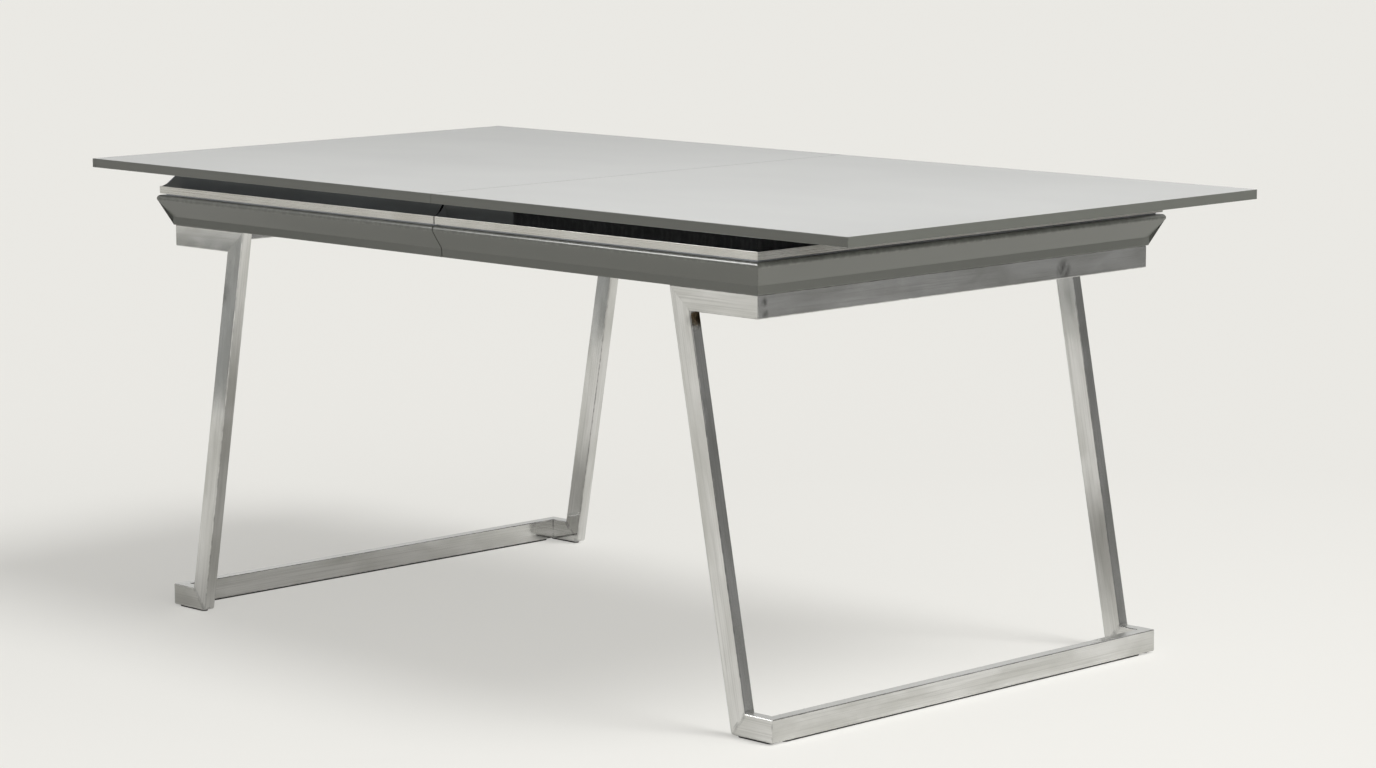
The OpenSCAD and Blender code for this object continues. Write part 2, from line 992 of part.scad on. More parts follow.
top_panel(left);  // left_top_panel
side_apron(left, front);  // left_front_apron
side_apron(left, back);  // left_back_apron
end_apron(left);  // left_end_apron
side_cove(left, front);  // left_front_cove
side_cove(left, back);  // left_back_cove
end_cove(left);  // left_end_cove
trim_strip(left);  // left_trim_strip
top_beam(left);  // left_top_beam
arms(left);  // left_arms
leg(left, front);  // left_front_leg
leg(left, back);  // left_back_leg
feet(left);  // left_feet
crossbar(left);  // left_crossbar
floor_pads(left);  // left_floor_pads
mounting_plates(left);  // left_mounting_plates
frame_bolts(left);  // left_frame_bolts
corner_blocks(left);  // left_corner_blocks
cross_rail(left);  // left_cross_rail
slide_battens(left);  // left_slide_battens
top_panel(right);  // right_top_panel
side_apron(right, front);  // right_front_apron
side_apron(right, back);  // right_back_apron
end_apron(right);  // right_end_apron
side_cove(right, front);  // right_front_cove
side_cove(right, back);  // right_back_cove
end_cove(right);  // right_end_cove
trim_strip(right);  // right_trim_strip
top_beam(right);  // right_top_beam
arms(right);  // right_arms
leg(right, front);  // right_front_leg
leg(right, back);  // right_back_leg
feet(right);  // right_feet
crossbar(right);  // right_crossbar
floor_pads(right);  // right_floor_pads
mounting_plates(right);  // right_mounting_plates
frame_bolts(right);  // right_frame_bolts
corner_blocks(right);  // right_corner_blocks
cross_rail(right);  // right_cross_rail
slide_battens(right);  // right_slide_battens
outer_channels();
inner_channels();
middle_rails();
rail_glides();
stop_pin(stop_x, 1);  // outer_stop_pins
stop_pin(-stop_x, -1);  // inner_stop_pins
carriage_bearers();
pinion_plate();
pinion_axle();
equaliser_pinion();
rack(0);  // left_rack
rack(180);  // right_rack
leaf_half(upper_leaf_z);  // leaf_upper_half
leaf_half(leaf_z);  // leaf_lower_half
leaf_hinges();
leaf_dowels();
seam_dowels();
lock_brackets();
lock_lever(front);  // front_lock_lever
lock_lever(back);  // back_lock_lever
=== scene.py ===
"""Looks of the extendable dining table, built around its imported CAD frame.

Everything is in metres and in the frame's own axes: X runs along the table, Y across
it with the front at -Y, and Z up from the floor. Each sub-assembly is a class that
holds its sizes, builds its meshes and dresses them in a finish.
"""

import logging
import math
from collections.abc import Iterable, Sequence
from dataclasses import dataclass, field, replace
from enum import Enum

import bmesh
import bpy
from mathutils import Matrix, Vector


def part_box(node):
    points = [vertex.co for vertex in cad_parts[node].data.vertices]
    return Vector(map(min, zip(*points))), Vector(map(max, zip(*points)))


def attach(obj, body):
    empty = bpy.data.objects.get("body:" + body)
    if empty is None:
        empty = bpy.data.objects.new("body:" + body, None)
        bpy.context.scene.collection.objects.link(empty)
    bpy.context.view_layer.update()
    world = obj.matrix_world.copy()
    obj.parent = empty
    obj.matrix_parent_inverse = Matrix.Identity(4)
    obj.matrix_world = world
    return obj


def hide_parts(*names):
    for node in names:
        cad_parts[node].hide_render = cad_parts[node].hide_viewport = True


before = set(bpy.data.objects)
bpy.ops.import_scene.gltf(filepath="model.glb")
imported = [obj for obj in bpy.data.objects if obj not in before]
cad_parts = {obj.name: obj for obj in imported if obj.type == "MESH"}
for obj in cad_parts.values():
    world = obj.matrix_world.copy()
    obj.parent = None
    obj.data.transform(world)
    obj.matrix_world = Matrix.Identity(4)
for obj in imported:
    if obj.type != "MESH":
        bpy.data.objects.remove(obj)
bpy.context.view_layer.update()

LOG = logging.getLogger("dining_table")
MM = 0.001
# The face attribute that marks arrises, and the widest face that counts as one.
ARRIS = "arris"
ARRIS_LIMIT = 1.3 * MM
UP = Vector((0.0, 0.0, 1.0))
ALONG_X = Vector((1.0, 0.0, 0.0))
ALONG_Y = Vector((0.0, 1.0, 0.0))
IN_PLACE = Matrix.Identity(4)
# A corner's quarter arc as shares of its radius: along the bar, and in from its face.
CORNER_ARC = ((0.0, 0.293), (0.541, 0.076), (1.0, 0.0))

Point2 = tuple[float, float]
Colour = tuple[float, float, float, float]
Blotches = tuple[tuple[float, float, float], float]
Shape = bmesh.types.BMesh
Socket = bpy.types.NodeSocket
Tree = bpy.types.NodeTree
Piece = bpy.types.Object


class Side(Enum):
    """The two halves of the table along its length."""

    LEFT = -1
    RIGHT = 1

    @property
    def word(self) -> str:
        """The side's name as CAD nodes spell it."""
        return self.name.lower()

    @property
    def body(self) -> str:
        """The CAD body that this half rides on."""
        return f"{self.word}_half"


class Face(Enum):
    """The two long sides of the table."""

    FRONT = -1
    BACK = 1

    @property
    def word(self) -> str:
        """The face's name as CAD nodes spell it."""
        return self.name.lower()


class Grain(Enum):
    """The direction that a tube's polishing lines run in."""

    ACROSS_TABLE = "y"
    ALONG_TABLE = "x"
    UP_RIGHT_LEG = "right leg"
    UP_LEFT_LEG = "left leg"


# ---- Colour, nodes and meshes ------------------------------------------------------


def linear(code: str) -> Colour:
    """Turns an sRGB hex colour into linear light.

    Args:
        code: The colour, such as "#8A8C88".

    Returns:
        Red, green, blue and an alpha of one.
    """
    channels = []
    for start in (1, 3, 5):
        value = int(code[start : start + 2], 16) / 255
        low = value / 12.92
        high = ((value + 0.055) / 1.055) ** 2.4
        channels.append(low if value <= 0.04045 else high)
    return (channels[0], channels[1], channels[2], 1.0)


def add_node(
    tree: Tree,
    kind: str,
    settings: dict[str | int, object] | None = None,
    links: dict[str | int, Socket] | None = None,
) -> bpy.types.Node:
    """Adds one node to a tree.

    Args:
        tree: The tree that gets the node.
        kind: The node's type name.
        settings: Attributes of the node, or values of its inputs by name or number.
        links: Output sockets to join to its inputs, by input name or number.

    Returns:
        The new node.
    """
    node = tree.nodes.new(kind)
    for key, value in (settings or {}).items():
        if isinstance(key, str) and hasattr(node, key):
            setattr(node, key, value)
        else:
            node.inputs[key].default_value = value
    for key, socket in (links or {}).items():
        tree.links.new(socket, node.inputs[key])
    return node


def emptied(owner: bpy.types.Material | bpy.types.World) -> Tree:
    """Gives the node tree of a material or world, with nothing in it.

    Args:
        owner: The material or world.

    Returns:
        Its node tree.
    """
    owner.use_nodes = True
    owner.node_tree.nodes.clear()
    return owner.node_tree


def placed(name: str, data: bpy.types.ID) -> Piece:
    """Puts a mesh, a lamp or a camera into the scene.

    Args:
        name: The object's name.
        data: What it holds.

    Returns:
        The new object, at the origin.
    """
    made = bpy.data.objects.new(name, data)
    bpy.context.scene.collection.objects.link(made)
    return made


def baked(piece: Piece, kind: str, settings: dict[str, object]) -> None:
    """Gives a piece the plain mesh that a modifier makes of it.

    Args:
        piece: The piece, whose mesh is replaced.
        kind: The modifier's type name.
        settings: Its attributes by name, or its tree's inputs by identifier.
    """
    modifier = piece.modifiers.new(kind.lower(), kind)
    for key, value in settings.items():
        if hasattr(modifier, key):
            setattr(modifier, key, value)
        else:
            modifier[key] = value
    graph = bpy.context.evaluated_depsgraph_get()
    mesh = bpy.data.meshes.new_from_object(piece.evaluated_get(graph))
    piece.modifiers.remove(modifier)
    old, piece.data = piece.data, mesh
    bpy.data.meshes.remove(old)


def discard(part: Piece) -> None:
    """Removes a piece and its mesh.

    Args:
        part: The piece.
    """
    mesh = part.data
    bpy.data.objects.remove(part)
    bpy.data.meshes.remove(mesh)


def smooth(mesh: bpy.types.Mesh, angle: float = math.radians(32)) -> None:
    """Shades a mesh smooth, except across edges sharper than an angle.

    Args:
        mesh: The mesh to shade.
        angle: The sharpest edge that still shades smooth, in radians.
    """
    mesh.polygons.foreach_set("use_smooth", [True] * len(mesh.polygons))
    mesh.set_sharp_from_angle(angle=angle)


def mark_arrises(mesh: bpy.types.Mesh) -> None:
    """Marks the narrow faces along a mesh's edges, where handling wears a finish and
    where the steel gets a painted dark edge line.

    Args:
        mesh: The mesh, which gets a face attribute for it.
    """
    attribute = mesh.attributes.new(ARRIS, "FLOAT", "FACE")
    points = [v.co for v in mesh.vertices]
    values = []
    for polygon in mesh.polygons:
        corners = [points[i] for i in polygon.vertices]
        sides = [(b - a).length for a, b in zip(corners, corners[1:] + corners[:1])]
        values.append(1.0 if min(sides) < ARRIS_LIMIT else 0.0)
    attribute.data.foreach_set("value", values)


def even_normals(piece: Piece) -> None:
    """Lets flat faces keep their own normal and bends only the roundings between."""
    baked(piece, "WEIGHTED_NORMAL", {"keep_sharp": True, "weight": 100})


def to_piece(name: str, shape: Shape) -> Piece:
    """Turns finished mesh code into an object at the origin.

    Args:
        name: The piece's name.
        shape: The closed shells that make the piece; it is freed.

    Returns:
        The new object.
    """
    bmesh.ops.remove_doubles(shape, verts=shape.verts, dist=0.002 * MM)
    bmesh.ops.recalc_face_normals(shape, faces=shape.faces)
    mesh = bpy.data.meshes.new(name)
    shape.to_mesh(mesh)
    shape.free()
    smooth(mesh)
    mark_arrises(mesh)
    piece = placed(name, mesh)
    even_normals(piece)
    return piece


def quarter(side: Side, face: Face = Face.BACK) -> Matrix:
    """Gives the mirror that takes the right back quarter to another quarter.

    Args:
        side: The half of the table.
        face: The long side of the table.

    Returns:
        The mirroring matrix.
    """
    return Matrix.Diagonal((side.value, face.value, 1.0, 1.0))


def around(count: int) -> list[float]:
    """Gives the angles that share a full turn evenly."""
    return [2 * math.pi * step / count for step in range(count)]


def arc(
    centre: Sequence[float], radius: float, first: float, last: float, steps: int
) -> list[Point2]:
    """Gives points on an arc, with both ends.

    Args:
        centre: The arc's centre.
        radius: Its radius.
        first: The angle that it starts at.
        last: The angle that it ends at.
        steps: The faces that it is made of.

    Returns:
        The points.
    """
    x, y = centre
    angles = [first + (last - first) * step / steps for step in range(steps + 1)]
    return [(x + radius * math.cos(a), y + radius * math.sin(a)) for a in angles]


@dataclass(frozen=True)
class Plane:
    """A cutting plane.

    Attributes:
        point: A point on the plane.
        normal: The plane's normal.
    """

    point: Vector
    normal: Vector

    def meet(self, start: Vector, axis: Vector) -> Vector:
        """Finds where a line from start along axis meets the plane."""
        reach = (self.point - start).dot(self.normal) / axis.dot(self.normal)
        return start + axis * reach

    def shifted(self, step: Vector) -> "Plane":
        """Gives the same plane moved by a step."""
        return Plane(self.point + step, self.normal)


@dataclass(frozen=True)
class Section:
    """A closed outline in a plane of its own.

    Attributes:
        points: The outline's corners in order.
    """

    points: tuple[Point2, ...]

    @staticmethod
    def rounded(width: float, height: float, radius: float, steps: int) -> "Section":
        """Makes a rectangle with rounded corners.

        Args:
            width: The size along the first direction.
            height: The size along the second direction.
            radius: The radius of each corner.
            steps: The faces that each corner is made of.

        Returns:
            The outline, centred on its own origin.
        """
        points: list[Point2] = []
        for turn, (x, y) in enumerate(((1, 1), (-1, 1), (-1, -1), (1, -1))):
            centre = (x * (width / 2 - radius), y * (height / 2 - radius))
            first = math.pi / 2 * turn
            points += arc(centre, radius, first, first + math.pi / 2, steps)
        return Section(tuple(points))

    @property
    def turn(self) -> float:
        """One for an outline that runs anticlockwise, minus one otherwise.

        Returns:
            The sign of the outline's area.
        """
        pairs = zip(self.points, self.points[1:] + self.points[:1])
        area = sum(a[0] * b[1] - b[0] * a[1] for a, b in pairs)
        return math.copysign(1.0, area)

    def inset(self, amount: float) -> "Section":
        """Gives the outline moved inwards.

        Args:
            amount: How far each side moves.

        Returns:
            The smaller outline, corner for corner.
        """
        if amount == 0:
            return self
        count = len(self.points)
        moved = []
        for index, point in enumerate(self.points):
            here = Vector(point)
            before = (here - Vector(self.points[index - 1])).normalized()
            after = (Vector(self.points[(index + 1) % count]) - here).normalized()
            first = Vector((-before.y, before.x)) * self.turn
            second = Vector((-after.y, after.x)) * self.turn
            middle = (first + second).normalized()
            lean = max(0.3, middle.dot(first))
            moved.append(tuple(here + middle * (amount / lean)))
        return Section(tuple(moved))

    def moved(self, x: float, y: float) -> "Section":
        """Gives the outline moved by a step."""
        return Section(tuple((here[0] + x, here[1] + y) for here in self.points))

    def drawn_in(self, amount: float, both: bool = False) -> "Section":
        """Gives the outline with its outer side moved in.

        Args:
            amount: How far the points of the outer half move back along the first
                coordinate.
            both: Whether the points of the inner half move too, the other way.

        Returns:
            The narrower outline, corner for corner.
        """
        reach = [x for x, _ in self.points]
        middle = (min(reach) + max(reach)) / 2
        other = amount if both else 0.0
        return Section(
            tuple((x - amount if x > middle else x + other, y) for x, y in self.points)
        )


def fillet(
    corners: Sequence[tuple[float, float, float]], steps: int = 4
) -> list[Point2]:
    """Rounds the corners of an open or closed outline.

    Args:
        corners: Each corner's place and radius, where a radius of zero stays sharp.
        steps: The faces that each rounded corner is made of.

    Returns:
        The outline's points.
    """
    points: list[Point2] = []
    count = len(corners)
    for index, (x, y, radius) in enumerate(corners):
        here = Vector((x, y))
        if radius <= 0:
            points.append((x, y))
            continue
        before = (Vector(corners[index - 1][:2]) - here).normalized()
        after = (Vector(corners[(index + 1) % count][:2]) - here).normalized()
        half = before.angle(after) / 2
        centre = here + (before + after).normalized() * radius / math.sin(half)
        start = here + before * radius / math.tan(half) - centre
        end = here + after * radius / math.tan(half) - centre
        for step in range(steps + 1):
            part = start.lerp(end, step / steps).normalized() * radius
            points.append(tuple(centre + part))
    return points


def skin(
    shape: Shape,
    rings: Sequence[Sequence[Vector]],
    place: Matrix = IN_PLACE,
    hollow: bool = True,
) -> None:
    """Adds a closed shell through rings of points to a mesh.

    Args:
        shape: The mesh code that gets the shell.
        rings: The rings from one end to the other, point for point.
        place: A move or mirror put on every point.
        hollow: Whether a ring may be hollow, so that both ends are cut into triangles.
    """
    made = [[shape.verts.new(place @ point) for point in ring] for ring in rings]
    count = len(made[0])
    for near, far in zip(made, made[1:]):
        for index in range(count):
            after = (index + 1) % count
            shape.faces.new((near[index], near[after], far[after], far[index]))
    caps = [shape.faces.new(made[0]), shape.faces.new(made[-1])]
    if hollow:
        bmesh.ops.triangulate(shape, faces=caps)


@dataclass(frozen=True)
class Bar:
    """A section run along an axis between two cutting planes.

    Attributes:
        section: The bar's outline.
        origin: Where the section's own origin lies.
        first: The direction of the section's first coordinate.
        second: The direction of its second coordinate.
        start: The plane that cuts the start.
        end: The plane that cuts the end.
        arris: How much is taken off the edges of the start and of the end.
        corner: The radius that rounds the outer side into a mitre at the start and at
            the end, in place of the arris there.
        between: Planes for further rings of points, in order, with an outline each.
    """

    section: Section
    origin: Vector
    first: Vector
    second: Vector
    start: Plane
    end: Plane
    arris: Point2 = (0.25 * MM, 0.25 * MM)
    corner: Point2 = (0.0, 0.0)
    between: tuple[tuple[Plane, Section], ...] = ()

    def ending(
        self, cut: Plane, inwards: Vector, arris: float, corner: float
    ) -> list[tuple[Plane, Section]]:
        """Gives the outlines at one end, from the cut inwards.

        Args:
            cut: The plane that cuts the end.
            inwards: The direction into the bar.
            arris: How much is taken off the end's edges.
            corner: The radius that rounds the outer side into a mitre, or none.

        Returns:
            Planes with an outline each.
        """
        if corner > 0:
            return [
                (
                    cut.shifted(inwards * corner * along),
                    self.section.drawn_in(corner * deep),
                )
                for along, deep in CORNER_ARC
            ]
        return [
            (cut, self.section.inset(arris)),
            (cut.shifted(inwards * arris), self.section),
        ]

    def rings(self) -> list[list[Vector]]:
        """Works out the rings of points from the start to the end.

        Returns:
            The rings, point for point.
        """
        axis = self.first.cross(self.second)
        span = self.end.meet(self.origin, axis) - self.start.meet(self.origin, axis)
        if axis.dot(span) < 0:
            axis = -axis
        first = self.ending(self.start, axis, self.arris[0], self.corner[0])
        last = self.ending(self.end, -axis, self.arris[1], self.corner[1])
        return [
            [
                plane.meet(self.origin + self.first * x + self.second * y, axis)
                for x, y in outline.points
            ]
            for plane, outline in (*first, *self.between, *reversed(last))
        ]

    def build(self, shape: Shape, place: Matrix = IN_PLACE) -> None:
        """Adds the bar to a mesh, with a move or mirror put on every point."""
        skin(shape, self.rings(), place)


def bored(piece: Piece, bores: Iterable[tuple[Vector, Vector, float, float]]) -> None:
    """Cuts round holes into a piece.

    Args:
        piece: The piece, whose mesh is replaced.
        bores: Each hole's start, direction, length and radius.
    """
    shape = bmesh.new()
    for start, axis, length, radius in bores:
        turn = axis.to_track_quat("Z", "Y").to_matrix()
        rings = [
            [
                start
                + turn
                @ Vector((radius * math.cos(angle), radius * math.sin(angle), along))
                for angle in around(40)
            ]
            for along in (0.0, length)
        ]
        skin(shape, rings, hollow=False)
    bmesh.ops.recalc_face_normals(shape, faces=shape.faces)
    mesh = bpy.data.meshes.new("cutter")
    shape.to_mesh(mesh)
    shape.free()
    cutter = placed("cutter", mesh)
    cut = {"operation": "DIFFERENCE", "solver": "EXACT", "object": cutter}
    baked(piece, "BOOLEAN", cut)
    discard(cutter)
    smooth(piece.data)
    even_normals(piece)


# ---- Finishes ----------------------------------------------------------------------

# Polishing, belt, die and rolling lines and the tooth of rubber and nylon are finer on
# the real thing. Each is drawn as coarse as it needs to be to show.

# The part of a noise's range, about its middle, that most of it lies in.
MOST_OF_NOISE = (0.35, 0.65)
METAL = (("Metallic", 1.0),)


@dataclass(frozen=True)
class Finish:
    """A surface finish, kept as one material.

    Attributes:
        label: The material's name.
        slot: The record's material slot; not used.
        colour: The finish's main colour.
        worn: The colour that it shows where it varies or wears.
    """

    label: str
    slot: str
    colour: str
    worn: str

    def material(self) -> bpy.types.Material:
        """Gives the finish's material, made the first time it is asked for.

        Returns:
            The material.
        """
        made = bpy.data.materials.get(self.label)
        if made is None:
            made = bpy.data.materials.new(self.label)
            tree = emptied(made)
            shader = self.shader(tree)
            add_node(tree, "ShaderNodeOutputMaterial", links={0: shader.outputs[0]})
        return made

    def shader(self, tree: Tree) -> bpy.types.Node:
        """Builds the finish's nodes.

        Args:
            tree: The material's node tree.

        Returns:
            The surface shader.
        """
        raise NotImplementedError

    def dress(self, piece: Piece) -> None:
        """Puts the finish on a piece or a CAD node.

        Args:
            piece: The piece or node, whose materials are replaced.
        """
        material = self.material()
        if not piece.material_slots:
            piece.data.materials.append(material)
        for slot in piece.material_slots:
            slot.material = material

    @staticmethod
    def pattern(
        tree: Tree,
        spacing: Sequence[float],
        detail: float = 2.0,
        turn: Sequence[float] = (0.0, 0.0, 0.0),
        distortion: float = 0.0,
    ) -> Socket:
        """Adds noise whose blotches have a real size.

        Args:
            tree: The material's node tree.
            spacing: The blotches' size along X, Y and Z, in metres.
            detail: How many finer layers the noise has.
            turn: A turn of the pattern about X, Y and Z.
            distortion: How much the noise is stirred.

        Returns:
            The noise's factor.
        """
        place = add_node(tree, "ShaderNodeTexCoord")
        turned_place = add_node(
            tree,
            "ShaderNodeMapping",
            {"Rotation": turn},
            {"Vector": place.outputs["Object"]},
        )
        scaled = add_node(
            tree,
            "ShaderNodeVectorMath",
            {"operation": "DIVIDE", 1: tuple(spacing)},
            {0: turned_place.outputs[0]},
        )
        noise = add_node(
            tree,
            "ShaderNodeTexNoise",
            {"Scale": 1.0, "Detail": detail, "Distortion": distortion},
            {"Vector": scaled.outputs[0]},
        )
        return noise.outputs["Fac"]

    def drift(self, tree: Tree, factor: Socket, span: Point2) -> Socket:
        """Lets the main colour drift to the worn one.

        Args:
            tree: The material's node tree.
            factor: What it drifts with.
            span: The part of the factor's range over which it drifts.

        Returns:
            The colour.
        """
        share = add_node(
            tree, "ShaderNodeMapRange", {1: span[0], 2: span[1]}, {0: factor}
        )
        mixed = add_node(
            tree,
            "ShaderNodeMix",
            {"data_type": "RGBA", 6: linear(self.colour), 7: linear(self.worn)},
            {0: share.outputs[0]},
        )
        return mixed.outputs[2]

    @staticmethod
    def surface(
        tree: Tree,
        links: dict[str | int, Socket],
        relief: Sequence[tuple[Socket, float]],
        settings: Sequence[tuple[str, float]],
    ) -> bpy.types.Node:
        """Builds the surface shader, with each relief bumped over the one before.

        Args:
            tree: The material's node tree.
            links: What varies over the surface, by the shader's input.
            relief: Heights from none to all, each with its depth in metres.
            settings: The shader's inputs that are the same all over the surface.

        Returns:
            The surface shader.
        """
        under: dict[str | int, Socket] = {}
        for height, depth in relief:
            bump = add_node(
                tree,
                "ShaderNodeBump",
                {"Strength": 1.0, "Distance": depth},
                {"Height": height, **under},
            )
            under = {"Normal": bump.outputs[0]}
        return add_node(
            tree, "ShaderNodeBsdfPrincipled", dict(settings), {**links, **under}
        )

    def arris_wear(self, tree: Tree, size: float, amount: float) -> Socket:
        """Gives a share in broken spots along a surface's arrises: wear on the lacquer,
        a painted dark edge reflection on the steel.

        Args:
            tree: The material's node tree.
            size: The size of the spots.
            amount: The most that a spot shows.

        Returns:
            The share that is marked.
        """
        arris = add_node(tree, "ShaderNodeAttribute", {"attribute_name": ARRIS})
        broken = add_node(
            tree,
            "ShaderNodeMapRange",
            {1: 0.42, 2: 0.62, 4: amount},
            {0: self.pattern(tree, (size, size, size), 3.0)},
        )
        both = add_node(
            tree,
            "ShaderNodeMath",
            {"operation": "MULTIPLY"},
            {0: arris.outputs["Fac"], 1: broken.outputs[0]},
        )
        return both.outputs[0]


@dataclass(frozen=True)
class SatinLacquer(Finish):
    """Sprayed satin lacquer on board: even, with a faint orange peel.

    Attributes:
        cloud: The size of the faint clouds in the colour.
        clouded: How dark the clouds are, as a share of the main colour.
        wiped: The size of the patches that a cloth leaves duller.
        peel: The width of the orange peel's cells, drawn wide enough to show.
        peel_depth: How deep the orange peel is.
        gloss: The roughness at its smoothest and its dullest.
        rubbed: The size of the spots worn pale on the arrises, and the most that they
            are worn.
    """

    label: str = "sprayed satin lacquer"
    slot: str = "grey_lacquer"
    colour: str = "#5B5D58"
    worn: str = "#7C7E79"
    cloud: float = 350 * MM
    clouded: float = 0.97
    wiped: tuple[float, float, float] = (500 * MM, 300 * MM, 500 * MM)
    peel: float = 3.0 * MM
    peel_depth: float = 0.004 * MM
    gloss: Point2 = (0.28, 0.31)
    rubbed: Point2 = (9 * MM, 0.35)

    def shader(self, tree: Tree) -> bpy.types.Node:
        """Builds the lacquer: cloudy tone, worn arrises and orange peel.

        Args:
            tree: The material's node tree.

        Returns:
            The surface shader.
        """
        clouds = add_node(
            tree,
            "ShaderNodeMapRange",
            {1: MOST_OF_NOISE[0], 2: MOST_OF_NOISE[1]},
            {0: self.pattern(tree, (self.cloud,) * 3, 3.0)},
        )
        clear = linear(self.colour)
        deep = tuple(c * self.clouded for c in clear[:3]) + (1.0,)
        tone = add_node(
            tree,
            "ShaderNodeMix",
            {"data_type": "RGBA", 6: deep, 7: clear},
            {0: clouds.outputs[0]},
        )
        rough = add_node(
            tree,
            "ShaderNodeMapRange",
            {1: 0.3, 2: 0.7, 3: self.gloss[0], 4: self.gloss[1]},
            {0: self.pattern(tree, self.wiped, 2.0)},
        )
        cells = self.pattern(tree, (self.peel,) * 3, 1.0)
        colour = add_node(
            tree,
            "ShaderNodeMix",
            {"data_type": "RGBA", 7: linear(self.worn)},
            {0: self.arris_wear(tree, *self.rubbed), 6: tone.outputs[2]},
        )
        return self.surface(
            tree,
            {"Base Color": colour.outputs[2], "Roughness": rough.outputs[0]},
            [(cells, self.peel_depth)],
            (("IOR", 1.5), ("Coat Weight", 0.4), ("Coat Roughness", 0.14)),
        )


# Heat tint and burnt polish at the welds, and painted shade: the spots on the legs
# below the arms paint the dark reflections there. Place, radius and depth.
WELD_STAINS_AND_SHADE = (
    ((0.679, 0.234, 0.628), 20 * MM, 0.9),
    ((0.679, -0.446, 0.643), 8 * MM, 3.0),
    ((0.679, -0.446, 0.633), 8 * MM, 3.0),
    ((0.679, -0.446, 0.623), 8 * MM, 3.0),
    ((0.679, -0.424, 0.639), 9 * MM, 0.9),
    ((0.679, -0.422, 0.622), 8 * MM, 0.9),
    ((0.565, -0.446, 0.563), 20 * MM, 0.5),
    ((0.571, -0.446, 0.486), 22 * MM, 0.5),
    ((0.541, -0.420, 0.602), 19 * MM, 1.5),
    ((-0.554, -0.436, 0.548), 26 * MM, 0.4),
)


